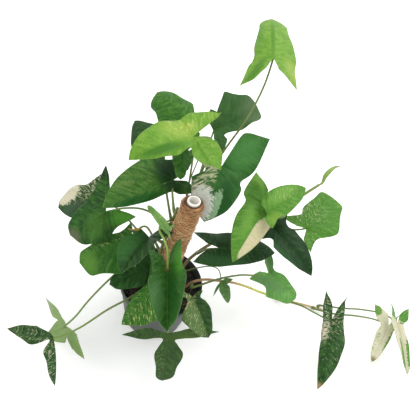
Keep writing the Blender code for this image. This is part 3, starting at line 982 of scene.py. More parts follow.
# How a blade's edge turns and waves, and how the blade bends across each half and over its lobes
LEAST_TURN = math.radians(0.35)
SIDE_ARCH = 0.35
LOBE_ARCH = 0.3
CALM_TIP = 0.18
WAVE_SHIFT = 0.85
PUCKER_START = 12.0

# How a petiole leaves its stem and meets the blade, and how far along the blade its keel runs
ROOT_SHARE = 0.6
CLEAR_OF_STEM = 4.0
LANDINGS = ((LANDING_START, 0.7), (PETIOLE_LANDING, 0.35))
KEEL_SHARE = 0.93


def hump(share: np.ndarray) -> np.ndarray:
    """A rise from nothing to one half way along and back to nothing."""
    return 4 * share * (1 - share)


@dataclass(frozen=True)
class Side:
    """One half of a blade: its basal lobe's tip, and its widths in millimetres."""

    lobe: Point
    half_width: float
    outer: float
    inner: float
    waist: float = 1.05


@dataclass
class Leaf:
    """One leaf of the plant: blade and petiole in one piece, at the frame node of the same place."""

    name: str
    slot: str
    stem: str
    node: float
    petiole: tuple[Point, ...]
    attach: Point
    tip: Point
    left: Side
    right: Side
    tip_fullness: float
    widest: float
    arch: float
    wave: float
    look: BladeLook
    front_points: int = 44
    lobe_points: int = 16
    rings: int = 18
    thickness: float = 0.55
    pucker: float = 0.42

    def __post_init__(self) -> None:
        """Works out the blade's own directions."""
        self.base = np.array(self.attach, float)
        midrib = np.array(self.tip, float) - self.base
        self.length = float(np.linalg.norm(midrib))
        self.along = midrib / self.length
        across = np.subtract(self.right.lobe, self.left.lobe)
        self.up = unit(np.cross(across, midrib))
        self.small = max(self.left.half_width, self.right.half_width) < SMALL_HALF_WIDTH
        self.stalk_radius = SMALL_PETIOLE_RADIUS if self.small else PETIOLE_RADIUS
        self.frame_thickness = SMALL_BLADE_THICKNESS if self.small else BLADE_THICKNESS

    def lobe_of(self, side: Side) -> tuple[np.ndarray, np.ndarray]:
        """A lobe's tip in the blade's own plane, and the direction that points out to it.

        Args:
            side: The lobe's half of the blade.

        Returns:
            Along the midrib and out from it in millimetres, and a direction of length one.
        """
        lobe = np.array(side.lobe, float) - self.base
        back = lobe @ self.along
        sideways = lobe - back * self.along
        out = np.linalg.norm(sideways)
        return np.array([back, out]), sideways / out

    def half_edge(self, lobe: np.ndarray, side: Side) -> np.ndarray:
        """The edge of one half in its own plane, from the tip round the lobe to the sinus.

        Args:
            lobe: The lobe's tip, along the midrib and out from it.
            side: The half's widths.

        Returns:
            Points along the midrib and out from it, in millimetres.
        """
        reach = np.linalg.norm(lobe)
        heading = lobe / reach
        across = np.array([-heading[1], heading[0]])
        across = -across if across[0] < 0 else across
        width = side.half_width
        front = [
            (self.length, 0.0),
            (0.9 * self.length, self.tip_fullness * width),
            (0.68 * self.length, 0.74 * width),
            (self.widest * self.length, width),
            side.waist * width * unit(np.array([1.0, 0.0]) + heading),
            0.5 * lobe + side.outer * across,
            lobe,
        ]
        back = [lobe, 0.72 * lobe - 0.7 * side.inner * across, 0.4 * lobe - side.inner * across]
        run = even_points(smooth_route(front, 1.0), self.front_points)
        rest = even_points(smooth_route(back, 1.0), self.lobe_points)
        return self.one_way_round(np.vstack([run, rest[1:]]))

    def one_way_round(self, edge: np.ndarray) -> np.ndarray:
        """The same edge with its bearing from the petiole always growing, and a gap left at the sinus.

        Args:
            edge: Points along the midrib and out from it.

        Returns:
            The edge's points in the same order.
        """
        reach = np.hypot(edge[:, 0], edge[:, 1])
        bearing = np.arctan2(edge[:, 1], edge[:, 0])
        bearing[bearing < -0.5 * math.pi] += math.tau
        most = math.pi - SINUS_ANGLE
        for i in range(1, len(edge)):
            bearing[i] = max(bearing[i], bearing[i - 1] + LEAST_TURN)
        for i in range(len(edge) - 1, 0, -1):
            bearing[i] = min(bearing[i], most)
            most = bearing[i] - LEAST_TURN
        return np.stack([reach * np.cos(bearing), reach * np.sin(bearing)], 1)

    def vein_phase(self, x: np.ndarray, y: np.ndarray, bearing: float) -> np.ndarray:
        """Where each place lies between two lateral veins, as the veins' node group counts it.

        Args:
            x: Places along the midrib, in millimetres.
            y: The same places' distance from the midrib.
            bearing: How far round from the tip the lobe points.

        Returns:
            How many spacings of veins each place is from the first one.
        """
        spacing = self.look.spacing / (MM / CM)
        front = x - VEIN_LEAN * y - VEIN_CURVE * MM / CM * y * y
        along = x * math.cos(bearing) + y * math.sin(bearing)
        off = np.abs(y * math.cos(bearing) - x * math.sin(bearing))
        return np.where(front > 0, front, along - LOBE_VEIN_LEAN * off) / spacing

    def half_surface(self, side: Side, turn: int) -> tuple[np.ndarray, np.ndarray, float]:
        """The upper face of one half, as points for each step round the edge and each ring.

        Args:
            side: The half's lobe and widths.
            turn: 1 for the left half, -1 for the right one.

        Returns:
            Places in millimetres, the same in the blade's plane, and the lobe's bearing.
        """
        lobe, outward = self.lobe_of(side)
        edge = self.half_edge(lobe, side)
        so_far = walked(edge)
        bearing = math.atan2(lobe[1], lobe[0])
        reach = np.hypot(*lobe)
        ring = np.linspace(0, 1, self.rings + 1) ** 0.9
        x = edge[:, :1] * ring
        y = edge[:, 1:] * ring
        calm = np.minimum(1.0, so_far / (CALM_TIP * so_far[-1]))
        ripple = calm * np.sin(math.tau * so_far / WAVE_LENGTH + WAVE_SHIFT * (1 - turn))
        rise = self.wave * ripple[:, None] * ring**2
        rise += np.where(x > 0, self.arch * hump(x / self.length), 0.0)
        rise += SIDE_ARCH * self.arch * hump(np.minimum(1.0, y / side.half_width))
        spread = np.minimum(1.0, np.hypot(x, y) / reach)
        rise += np.where(x < 0, LOBE_ARCH * self.arch * hump(spread), 0.0)
        phase = self.vein_phase(x, y, bearing)
        swell = np.sin(math.pi * (phase - np.floor(phase))) ** 0.7 - 0.5
        rise += self.pucker * swell * np.clip(np.hypot(x, y) / PUCKER_START, 0, 1) * (1 - ring**6)
        places = self.base + self.along * x[..., None] + outward * y[..., None] + self.up * rise[..., None]
        return places, np.stack([x, turn * y], -1) * MM / CM, bearing

    def blade(self) -> tuple[bpy.types.Object, tuple[float, float]]:
        """Bends a grid into the blade, thickens it downwards, and maps its plane.

        Returns:
            The blade, and the bearings of its left and right lobes.
        """
        left, left_plane, left_bearing = self.half_surface(self.left, 1)
        right, right_plane, right_bearing = self.half_surface(self.right, -1)
        places = np.concatenate([left[::-1], right[1:]])
        plane = np.concatenate([left_plane[::-1], right_plane[1:]])
        columns = len(places) - 1
        deselect()
        bpy.ops.mesh.primitive_grid_add(x_subdivisions=columns, y_subdivisions=self.rings, size=2)
        obj = added(self.name)
        flat = read_points(obj.data)
        column = np.rint((flat[:, 0] + 1) / 2 * columns).astype(int)
        row = np.rint((flat[:, 1] + 1) / 2 * self.rings).astype(int)
        write_map(obj.data, "plane", plane[column, row])
        write_map(obj.data, "walk", np.stack([column / columns, row / self.rings], 1))
        write_points(obj.data, places[column, row] * MM)
        keep_maps(obj.data, "plane", "walk")
        with editing(obj):
            bpy.ops.mesh.remove_doubles(threshold=10 * MERGE * MM)
        if self.facing(obj.data) < 0:
            with editing(obj):
                bpy.ops.mesh.flip_normals()
        thicken(obj, self.thickness).material_offset = 1
        obj.data.materials.append(None)
        obj.data.materials.append(None)
        apply_modifiers(obj)
        obj.data.shade_smooth()
        return obj, (left_bearing, right_bearing)

    def facing(self, mesh: bpy.types.Mesh) -> float:
        """More than nothing where the blade's faces point to its upper side."""
        total = sum((face.normal * face.area for face in mesh.polygons), Vector())
        return float(total.dot(Vector(self.up)))

    def petiole_route(self) -> np.ndarray:
        """From just off the stem, through the petiole's own points, to along the midrib's underside.

        Returns:
            Its centre line, in millimetres.
        """
        stem = smooth_route(STEMS[self.stem], STEM_SPACING)
        place = self.node * (len(stem) - 1)
        step = int(place)
        after = stem[min(step + 1, len(stem) - 1)]
        here = stem[step] + (place - step) * (after - stem[step])
        tangent = unit(after - stem[max(step - 1, 0)])
        target = np.array(self.petiole[0] if self.petiole else self.attach, float)
        out = target - here
        out = unit(out - (out @ tangent) * tangent)
        root = here + out * ROOT_SHARE * stem_radius(self.stem)
        clear = here + out * (stem_radius(self.stem) + SEAT_GAP + CLEAR_OF_STEM)
        slope = 4 * self.arch * (1 - FIRST_RING) / self.length
        landing = []
        for x, sunk in LANDINGS:
            depth = self.frame_thickness + sunk * self.stalk_radius
            landing.append(self.base + self.along * x + self.up * (x * slope - depth))
        return smooth_route([root, clear, *(np.array(p, float) for p in self.petiole), *landing], 3.0)

    def keel_route(self) -> np.ndarray:
        """The midrib's raised underside, from the petiole's end to near the blade's tip.

        Returns:
            Its centre line, in millimetres.
        """
        x = np.linspace(PETIOLE_LANDING - 2.0, KEEL_SHARE * self.length, 26)
        rise = self.arch * hump(x / self.length)
        depth = self.thickness + np.linspace(0.35, -0.1, len(x))
        return self.base + np.outer(x, self.along) + np.outer(rise - depth, self.up)

    def build(self, patterns: Patterns) -> bpy.types.Object:
        """Builds and dresses the leaf, and puts it in its node's place.

        Args:
            patterns: The shared node groups.

        Returns:
            The finished leaf.
        """
        obj, bearings = self.blade()
        obj.data.materials[0] = self.look.paint(self.name + "_upper", bearings, patterns, False)
        obj.data.materials[1] = self.look.paint(self.name + "_under", bearings, patterns, True)
        route = self.petiole_route()
        share = np.linspace(0, 1, len(route))
        radii = self.stalk_radius * (1 + 0.75 * np.exp(-share * len(route) / 4.0))
        radii *= 1.1 - 0.22 * share
        radii[-3:] *= (0.9, 0.75, 0.6)
        stalk = tube(self.name + "_petiole", route, radii, 12)
        keel = self.keel_route()
        rib = tube(self.name + "_keel", keel, self.stalk_radius * np.linspace(0.5, 0.16, len(keel)), 8)
        write_map(rib.data, "plane", np.tile((1.0, 0.0), (len(rib.data.vertices), 1)))
        stalk_finish = self.look.paint_petiole(self.name + "_petiole", patterns)
        for part in (stalk, rib):
            part.data.materials.append(stalk_finish)
            keep_maps(part.data, "plane")
        join(obj, [stalk, rib])
        settle(obj, self.slot, self.name)
        return obj


def stem_radius(name: str) -> float:
    """The radius of a stem by its name, in millimetres."""
    return RUNNER_RADIUS if name == "runner" else STEM_RADIUS


# Stem routes from root to growing end, as in the frame
STEMS: dict[str, list[Point]] = {
    "stem_left": beside_pole((86, 198), (110, 198), (150, 192), (200, 178), (250, 166), (304, 157)),
    "stem_back": beside_pole((86, 118), (110, 118), (160, 108), (220, 96), (292, 86)),
    "stem_front": [(16, -27, 86), (16, -27, 108), (13, -29, 130), (10, -31, 152), (10, -30, 172)],
    "stem_right": [
        (26, 17, 86), (26, 18, 106), (34, 48, 130), (62, 84, 148), (96, 108, 168), (128, 128, 202),
        (147, 138, 234), (166, 144, 252), (190, 152, 270), (207, 166, 284), (220, 176, 296),
    ],
    "runner": [
        (46, 12, 86), (47, 12, 104), (58, 17, 118), (76, 26, 121), (98, 40, 110), (129, 66, 84),
        (160, 89, 55), (196, 108, 26), (232, 120, 9), (267, 126, 3.2), (304, 129, 3.0), (338, 131, 3.0),
    ],
}


@dataclass
class Pot:
    """The black nursery pot: a thin tapered wall, a banded rim and drain holes in its floor."""

    segments: int = 128
    drain_holes: int = 6
    drain_radius: float = 5.0
    drain_circle: float = 38.0
    # How high the paler grey reaches up the wall, part dust and part painted sheen, in millimetres
    low_dust_and_sheen: float = 70.0

    def profile(self) -> list[tuple[float, float]]:
        """Radius and height of each ring, from the floor's underside up the wall and down inside.

        Returns:
            The rings in order, in millimetres.
        """
        rim_low = POT_HEIGHT - RIM_DROP
        wall = POT_BASE_RADIUS - POT_WALL
        outside = [
            (POT_BASE_RADIUS - 3.0, 0.0),
            (POT_BASE_RADIUS - 0.8, 0.0),
            (POT_BASE_RADIUS, 0.5),
            (POT_BASE_RADIUS + 0.6, 1.4),
        ]
        outside += [(POT_BASE_RADIUS + POT_TAPER * z + 0.1, z) for z in (12.0, 13.0)]
        outside += [(POT_BASE_RADIUS + POT_TAPER * z, z) for z in (14.0, 40.0, 66.0, 92.0, rim_low)]
        rim = [
            (POT_RIM_RADIUS - 0.7, rim_low + 0.2),
            (POT_RIM_RADIUS, rim_low + 0.9),
            (POT_RIM_RADIUS, POT_HEIGHT - 2.6),
            (POT_RIM_RADIUS - 0.3, POT_HEIGHT - 2.2),
            (POT_RIM_RADIUS, POT_HEIGHT - 1.6),
            (POT_RIM_RADIUS - 0.3, POT_HEIGHT - 0.5),
            (POT_RIM_RADIUS - 1.1, POT_HEIGHT),
        ]
        inside = [
            (wall + POT_TAPER * POT_HEIGHT + 0.9, POT_HEIGHT),
            (wall + POT_TAPER * POT_HEIGHT, POT_HEIGHT - 1.0),
            (wall + POT_TAPER * 60.0, 60.0),
            (wall + POT_TAPER * (POT_FLOOR + 1.5), POT_FLOOR + 1.5),
            (wall + POT_TAPER * POT_FLOOR - 1.5, POT_FLOOR),
            (20.0, POT_FLOOR),
        ]
        return outside + rim + inside

    def build(self, patterns: Patterns) -> None:
        """Draws the wall out ring by ring, closes both floors, and drills the drains.

        Args:
            patterns: The shared node groups.
        """
        pot = turned("nursery_pot", self.segments, self.profile())
        for i in range(self.drain_holes):
            self.drill(pot, math.tau * (i + 0.5) / self.drain_holes)
        pick(pot)
        bpy.ops.object.shade_smooth_by_angle(angle=math.radians(32))
        pot.data.materials.clear()
        pot.data.materials.append(self.finish(patterns))
        settle(pot, "pot", "pot")

    def drill(self, pot: bpy.types.Object, angle: float) -> None:
        """Cuts one round drain through the floor at a turn round the pot.

        Args:
            pot: The pot.
            angle: The turn, in radians.
        """
        place = round_pole(self.drain_circle * MM, angle, 0.0)
        deselect()
        bpy.ops.mesh.primitive_cylinder_add(
            vertices=32, radius=self.drain_radius * MM, depth=4 * POT_FLOOR * MM, location=place
        )
        drill = added("drain")
        cut = pot.modifiers.new("drain", "BOOLEAN")
        cut.operation = "DIFFERENCE"
        cut.object = drill
        apply_modifiers(pot)
        bpy.data.objects.remove(drill, do_unlink=True)

    def finish(self, patterns: Patterns) -> bpy.types.Material:
        """Moulded black plastic with a dull bloom, scuffs on the rim, and a paler grey low on the wall that
        is part dust and part painted sheen, the white table's reflection.

        Args:
            patterns: The shared node groups.

        Returns:
            The finished material.
        """
        sheet = Coat("pot_plastic")
        _, _, height = sheet.parts(sheet.place())
        tone, grain = sheet.mottle(patterns, 28.0, 1.4)
        _, fine = sheet.mottle(patterns, 260.0, 2.0)
        worn = srgb(88, 94, 92)
        colour = sheet.blend(tone * 0.35, srgb(38, 43, 42), worn)
        scuff = sheet.step(height, (POT_HEIGHT - 2.4) * MM, POT_HEIGHT * MM) * sheet.step(fine, 0.45, 0.6)
        colour = sheet.blend(scuff * 0.5, colour, worn)
        # Paler grey low on the wall: part dust, part painted sheen standing for the white table's reflection
        dust_and_sheen = sheet.fall(height, 0.0, self.low_dust_and_sheen * MM) * sheet.step(grain, 0.4, 0.65)
        colour = sheet.blend(dust_and_sheen * 0.5, colour, srgb(136, 140, 128))
        return sheet.finish(colour, tone * 0.25 + 0.36 + dust_and_sheen * 0.3, fine, 0.18, 0.0004)


@dataclass
class PottingMix:
    """The dark potting mix in the pot, with bark chips, pale grit and root bits lying on it."""

    rings: int = 22
    segments: int = 96
    chips: int = 620
    grains: int = 420
    threads: int = 60
    wall_gap: float = 0.6
    shoulder: float = 4.0
    edge_start: float = 62.0
    edge_slope: float = 0.45
    strewn_radius: float = 70.0
    seed: int = 11

    def surface(self, x: float, y: float) -> float:
        """The mix's height at a place, in millimetres.

        Args:
            x: Its place along X, in millimetres.
            y: Its place along Y, in millimetres.

        Returns:
            The height.
        """
        reach = math.hypot(x, y)
        drop = self.edge_slope * max(0.0, reach - self.edge_start)
        fine = 0.5 * math.sin(x / 2.3 + 0.7) * math.sin(y / 2.7) + 0.3 * math.sin((x - 2 * y) / 3.1)
        return SOIL_TOP + soil_bump(x, y) + fine - drop

    def build(self, patterns: Patterns) -> None:
        """Draws the mix as rings in towards the middle, raises its bumps, and strews the crumbs.

        Args:
            patterns: The shared node groups.
        """
        inside = POT_BASE_RADIUS - POT_WALL - self.wall_gap
        low = POT_FLOOR + SEAT_GAP
        high = SOIL_TOP - self.shoulder
        wide = inside + POT_TAPER * high
        rings = [(inside + POT_TAPER * low, low), (wide, high)]
        rings += [(wide * (1 - k / self.rings), SOIL_TOP) for k in range(1, self.rings)]
        mix = turned("potting_mix", self.segments, rings, poked=True)
        points = read_points(mix.data) / MM
        for point in points:
            if point[2] > 0.9 * SOIL_TOP:
                point[2] = self.surface(point[0], point[1])
        write_points(mix.data, points * MM)
        mix.data.shade_smooth()
        mix.data.materials.append(self.earth(patterns))
        join(mix, self.litter(patterns))
        settle(mix, "soil", "soil")

    def spots(self, draw: random.Random, count: int, size: Point, tilt: float) -> list[Matrix]:
        """Seeded places on the mix for small things, each with its own turn and size.

        Args:
            draw: The seeded source of random numbers.
            count: How many places are wanted.
            size: Length, width and height of the largest one, in millimetres.
            tilt: How far one may lean, in radians.

        Returns:
            One transform for each.
        """
        found = []
        while len(found) < count:
            reach = self.strewn_radius * math.sqrt(draw.random())
            angle = draw.uniform(0, math.tau)
            x, y, _ = round_pole(reach, angle, 0.0)
            share = draw.uniform(0.35, 1.0)
            if math.hypot(x, y) < TUBE_RADIUS + 3:
                continue
            place = Matrix.Translation(Vector((x, y, self.surface(x, y) + 0.25 * size[2] * share)) * MM)
            turn = Matrix.Rotation(angle * 7.0, 4, "Z") @ Matrix.Rotation(draw.uniform(-tilt, tilt), 4, "X")
            scale = Matrix.Diagonal((*(s * share * draw.uniform(0.7, 1.0) * MM for s in size), 1.0))
            found.append(place @ turn @ scale)
        return found

    def litter(self, patterns: Patterns) -> list[bpy.types.Object]:
        """Bark chips, pale grit and fine roots, each modelled once and strewn.

        Args:
            patterns: The shared node groups.

        Returns:
            One object for each kind.
        """
        draw = random.Random(self.seed)
        deselect()
        bpy.ops.mesh.primitive_cube_add(size=1.0)
        chip = added("chip")
        with editing(chip):
            bpy.ops.mesh.bevel(offset=0.16, segments=1)
        points = read_points(chip.data)
        points += 0.16 * np.sin(points[:, [1, 2, 0]] * 7.0 + (0.4, 1.9, 3.1))
        write_points(chip.data, points)
        bark = scattered("bark_chips", chip, self.spots(draw, self.chips, (6.5, 3.4, 1.9), 0.5))
        deselect()
        bpy.ops.mesh.primitive_ico_sphere_add(subdivisions=1, radius=0.5)
        grit = scattered("grit", added("grain"), self.spots(draw, self.grains, (1.9, 1.5, 1.3), 0.6))
        deselect()
        bpy.ops.mesh.primitive_cylinder_add(vertices=5, radius=0.5, depth=1.0, rotation=(0, math.pi / 2, 0))
        root = added("root_bit")
        place_in_mesh(root)
        split_edges(root, 3)
        points = read_points(root.data)
        points[:, 1] += 4.0 * np.sin(points[:, 0] * 4.0)
        write_points(root.data, points)
        roots = scattered("root_bits", root, self.spots(draw, self.threads, (15.0, 0.7, 0.7), 0.12))
        for obj, name, dark, pale in (
            (bark, "bark", (14, 11, 9), (46, 33, 25)),
            (grit, "grit", (82, 70, 56), (232, 226, 210)),
            (roots, "fine_root", (104, 82, 58), (176, 150, 116)),
        ):
            obj.data.materials.append(self.crumb(name, dark, pale, patterns))
        return [bark, grit, roots]

    def earth(self, patterns: Patterns) -> bpy.types.Material:
        """Moist dark peat with a fine broken surface.

        Args:
            patterns: The shared node groups.

        Returns:
            The finished material.
        """
        sheet = Coat("potting_mix")
        tone, grain = sheet.mottle(patterns, 60.0, 1.6)
        fine, _ = sheet.mottle(patterns, 420.0, 2.0)
        colour = sheet.blend(tone, srgb(8, 7, 6), srgb(24, 19, 16))
        colour = sheet.blend(sheet.step(fine, 0.62, 0.7) * 0.6, colour, srgb(112, 92, 70))
        return sheet.finish(colour, grain * 0.2 + 0.75, fine, 0.9, 0.0015)

    def crumb(self, name: str, dark: Colour, pale: Colour, patterns: Patterns) -> bpy.types.Material:
        """A rough natural scrap whose tone changes from one bit to the next.

        Args:
            name: The material's name.
            dark: Its darker display colour.
            pale: Its paler display colour.
            patterns: The shared node groups.

        Returns:
            The finished material.
        """
        sheet = Coat(name)
        dark, pale = srgb(*dark), srgb(*pale)
        each, _ = sheet.mottle(patterns, 130.0, 3.0)
        fine, grain = sheet.mottle(patterns, 700.0, 2.0)
        colour = sheet.blend(fine * 0.4, sheet.blend(each, dark, pale), dark)
        return sheet.finish(colour, grain * 0.3 + 0.65, grain, 0.8, 0.0006)


@dataclass
class Pole:
    """The climbing pole: a leaning white tube wound with coarse coir twine."""

    tube_rings: int = 8
    turns: int = 40
    twine_radius: float = 2.7
    points_per_turn: int = 26
    fibres: int = 900
    fibre_radius: float = 0.24
    seed: int = 5

    def lean(self, obj: bpy.types.Object) -> None:
        """Shifts each height of a mesh sideways by the pole's lean.

        Args:
            obj: The object.
        """
        points = read_points(obj.data)
        points[:, 0] += POLE_LEAN * (points[:, 2] - SOIL_TOP * MM)
        write_points(obj.data, points)

    def ridge(self, height: float) -> float:
        """How far the winding bulges at a height, as the frame's ridges do."""
        share = (COIR_TOP - height) / (COIR_TOP - COIR_BOTTOM) * COIR_TURNS
        return COIR_RIDGE * (1 - abs(2 * (share - math.floor(share)) - 1))

    def build(self, patterns: Patterns) -> None:
        """Builds the tube and its winding."""
        self.build_tube(patterns)
        self.build_winding(patterns)

    def build_tube(self, patterns: Patterns) -> None:
        """Draws the tube's wall out of one ring and bevels its cut ends.

        Args:
            patterns: The shared node groups.
        """
        deselect()
        bpy.ops.mesh.primitive_circle_add(
            vertices=64, radius=TUBE_RADIUS * MM, fill_type="NOTHING", location=(0, 0, TUBE_BOTTOM * MM)
        )
        pipe = added("white_pole_tube")
        step = (TUBE_TOP - TUBE_BOTTOM) / self.tube_rings * MM
        with editing(pipe):
            for _ in range(self.tube_rings):
                bpy.ops.mesh.extrude_region_move(TRANSFORM_OT_translate={"value": (0, 0, step)})
        mend(pipe)
        place_in_mesh(pipe)
        thicken(pipe, TUBE_RADIUS - TUBE_BORE)
        bevel = pipe.modifiers.new("cut edge", "BEVEL")
        bevel.width = 0.4 * MM
        bevel.segments = 2
        bevel.limit_method = "ANGLE"
        apply_modifiers(pipe)
        self.lean(pipe)
        pick(pipe)
        bpy.ops.object.shade_smooth_by_angle(angle=math.radians(40))
        sheet = Coat("white_plastic_tube")
        tone, grain = sheet.mottle(patterns, 70.0, 1.6)
        colour = sheet.blend(tone * 0.5, srgb(236, 234, 228), srgb(204, 198, 186))
        colour = sheet.blend(sheet.step(grain, 0.58, 0.7) * 0.35, colour, srgb(150, 132, 104))
        pipe.data.materials.append(sheet.finish(colour, grain * 0.25 + 0.28, grain, 0.1, 0.0005))
        settle(pipe, "tube", "pole_tube")

    def helix(self, draw: random.Random) -> tuple[np.ndarray, np.ndarray]:
        """The line and the radii of twine wound up the pole, uneven as hand winding is.

        Args:
            draw: The seeded source of random numbers.

        Returns:
            Places and radii, in millimetres.
        """
        wobble = [draw.uniform(-1, 1) for _ in range(self.turns + 2)]
        line, radii = [], []
        low = COIR_BOTTOM + self.twine_radius
        high = COIR_TOP - self.twine_radius
        for i in range(self.turns * self.points_per_turn + 1):
            turn = i / self.points_per_turn
            k, part = int(turn), turn - int(turn)
            uneven = wobble[k] * (1 - part) + wobble[min(k + 1, self.turns)] * part
            height = low + (high - low) * turn / self.turns
            height = min(max(height + 0.5 * uneven, low), high)
            far = COIR_RADIUS - self.twine_radius + self.ridge(height) + 0.12 * uneven
            line.append(round_pole(far, math.tau * turn, height))
            radii.append(self.twine_radius * (1 + 0.1 * uneven + 0.05 * math.sin(17.0 * turn)))
        return np.array(line), np.array(radii)

    def build_winding(self, patterns: Patterns) -> None:
        """Winds the twine over a core coloured darker as painted shade in the gaps between the turns, and
        leaves loose fibres standing out of it.

        Args:
            patterns: The shared node groups.
        """
        draw = random.Random(self.seed)
        deselect()
        bpy.ops.mesh.primitive_cylinder_add(
            vertices=48,
            radius=(COIR_RADIUS - self.twine_radius) * MM,
            depth=(COIR_TOP - COIR_BOTTOM - 1.0) * MM,
            location=(0, 0, 0.5 * (COIR_TOP + COIR_BOTTOM) * MM),
            end_fill_type="NOTHING",
        )
        core = added("coir_core")
        place_in_mesh(core)
        thicken(core, COIR_RADIUS - self.twine_radius - TUBE_RADIUS - SEAT_GAP)
        apply_modifiers(core)
        line, radii = self.helix(draw)
        twine = tube("coir_winding", line, radii, 8)
        strands = [self.fibre(draw) for _ in range(self.fibres)]
        # Painted shade: the core's coir is coloured darker than the twine, standing for the shade in the gaps
        # between the turns
        core.data.materials.append(self.finish("coir_shade", (58, 36, 20), (92, 60, 34), patterns))
        twine.data.materials.append(self.finish("coir_twine", (96, 52, 25), (204, 154, 98), patterns))
        deselect()
        bpy.ops.mesh.primitive_cylinder_add(vertices=3, radius=1.0, depth=1.0)
        hair = added("coir_hair")
        split_edges(hair, 1)
        loose = scattered("coir_fibres", hair, strands)
        loose.data.materials.append(self.finish("coir_fibre", (190, 148, 96), (238, 210, 160), patterns))
        join(twine, [core, loose])
        self.lean(twine)
        settle(twine, "coir", "coir_wrap")

    def fibre(self, draw: random.Random) -> Matrix:
        """The place of one loose fibre, lying nearly along the winding or standing off it a little.

        Args:
            draw: The seeded source of random numbers.

        Returns:
            Its transform.
        """
        height = draw.uniform(COIR_BOTTOM + 4, COIR_TOP - 4)
        angle = draw.uniform(0, math.tau)
        far = COIR_RADIUS + self.ridge(height) + draw.uniform(-0.3, 0.9)
        place = Matrix.Translation(Vector(round_pole(far, angle, height)) * MM)
        facing = Matrix.Rotation(angle, 4, "Z")
        lie = Matrix.Rotation(math.pi / 2 + draw.uniform(-0.5, 0.5), 4, "X")
        stand = Matrix.Rotation(draw.uniform(-0.25, 0.25), 4, "Z")
        length = draw.uniform(6.0, 18.0)
        size = Matrix.Diagonal((self.fibre_radius * MM, self.fibre_radius * MM, length * MM, 1.0))
        return place @ facing @ stand @ lie @ size

    def finish(self, name: str, dark: Colour, pale: Colour, patterns: Patterns) -> bpy.types.Material:
        """Dry coir: bristly streaks that run round the pole, with darker patches; on the core, whose colours
        are darker, it is the painted shade in the gaps.

        Args:
            name: The material's name.
            dark: Its darker display colour.
            pale: Its paler display colour.
            patterns: The shared node groups.

        Returns:
            The finished material.
        """
        sheet = Coat(name)
        dark, pale = srgb(*dark), srgb(*pale)
        x, y, z = sheet.parts(sheet.place())
        tone, grain = sheet.mottle(patterns, 110.0, 1.8, sheet.vector(x, y, z * 7.0))
        patchy, _ = sheet.mottle(patterns, 36.0, 1.6)
        colour = sheet.blend(sheet.step(patchy, 0.35, 0.75) * 0.75, sheet.blend(tone, dark, pale), dark)
        return sheet.finish(colour, grain * 0.2 + 0.72, grain, 0.9, 0.0008)


@dataclass
class Stem:
    """One stem of the plant, with a ring at each joint, short roots, and colour that changes along it."""

    name: str
    colours: tuple[tuple[float, Colour], ...]
    joints: tuple[float, ...]
    roots: int
    seed: int
    swell: float = 0.17
    swell_length: float = 2.4
    scar_depth: float = 0.06

    def build(self, patterns: Patterns) -> None:
        """Builds the stem over its frame node.

        Args:
            patterns: The shared node groups.
        """
        route = smooth_route(STEMS[self.name], 2.0)
        share = np.linspace(0, 1, len(route))
        base = stem_radius(self.name)
        length = np.linalg.norm(np.diff(route, axis=0), axis=1).sum()
        radii = base * (0.94 - 0.2 * share**6)
        for joint in self.joints:
            off = (share - joint) * length
            radii += base * self.swell * np.exp(-((off / self.swell_length) ** 2))
            radii -= base * self.scar_depth * np.exp(-(((off - 4.0) / 1.2) ** 2))
        stem = tube(self.name + "_detail", route, radii, 16)
        stem.data.materials.append(self.finish(patterns))
        join(stem, self.aerial_roots(route, patterns))
        settle(stem, "stem", self.name)

    def aerial_roots(self, route: np.ndarray, patterns: Patterns) -> list[bpy.types.Object]:
        """Short tan roots that leave the joints and cling downwards.

        Args:
            route: The stem's centre line, in millimetres.
            patterns: The shared node groups.

        Returns:
            One object a root.
        """
        draw = random.Random(self.seed)
        sheet = Coat(self.name + "_root")
        tone, grain = sheet.mottle(patterns, 220.0, 1.8)
        colour = sheet.blend(tone, srgb(112, 84, 56), srgb(184, 152, 112))
        bark = sheet.finish(colour, grain * 0.25 + 0.6, grain, 0.5, 0.0005)
        found = []
        for _ in range(self.roots):
            joint = draw.choice(self.joints)
            index = min(int(joint * (len(route) - 1)), len(route) - 3)
            start = route[index]
            tangent = unit(route[index + 1] - route[index])
            aim = np.array((draw.uniform(-1, 1), draw.uniform(-1, 1), draw.uniform(-0.9, 0.1)))
            aim = unit(aim - (aim @ tangent) * tangent)
            length = draw.uniform(2.5, 7.0)
            bend = np.array((0.0, 0.0, -0.35 * length))
            middle = start + aim * (stem_radius(self.name) + 0.4 * length)
            line = np.array([start, middle, start + aim * length * 1.2 + bend])
            line[:, 2] = np.maximum(line[:, 2], min(start[2], 1.0) + 0.8)
            line = smooth_route(line, 1.2)
            found.append(tube(self.name + "_root", line, np.linspace(0.75, 0.3, len(line)), 6))
            found[-1].data.materials.append(bark)
        return found

    def finish(self, patterns: Patterns) -> bpy.types.Material:
        """Smooth fleshy skin whose colour follows the stem from root to tip.

        Args:
            patterns: The shared node groups.

        Returns:
            The finished material.
        """
        sheet = Coat(self.name + "_skin")
        share, around, _ = sheet.parts(sheet.uv("plane"))
        colour = srgb(*self.colours[0][1])
        for (start, _), (stop, tint) in zip(self.colours, self.colours[1:]):
            colour = sheet.blend(sheet.step(share, start, stop), colour, srgb(*tint))
        tone, grain = sheet.mottle(patterns, 150.0, 1.5)
        colour = sheet.blend(tone * 0.3, colour, srgb(104, 92, 56))
        scar, *others = (sheet.fall(abs(share - (joint + 0.008)), 0.0, 0.012) for joint in self.joints)
        for ring in others:
            scar = sheet.math("MAXIMUM", scar, ring)
        colour = sheet.blend(scar * 0.55, colour, srgb(120, 92, 60))
        line = sheet.noise(sheet.vector(share * 8.0, around * 26.0), 1.0)
        return sheet.finish(colour, grain * 0.25 + 0.38, line, 0.3, 0.0005)


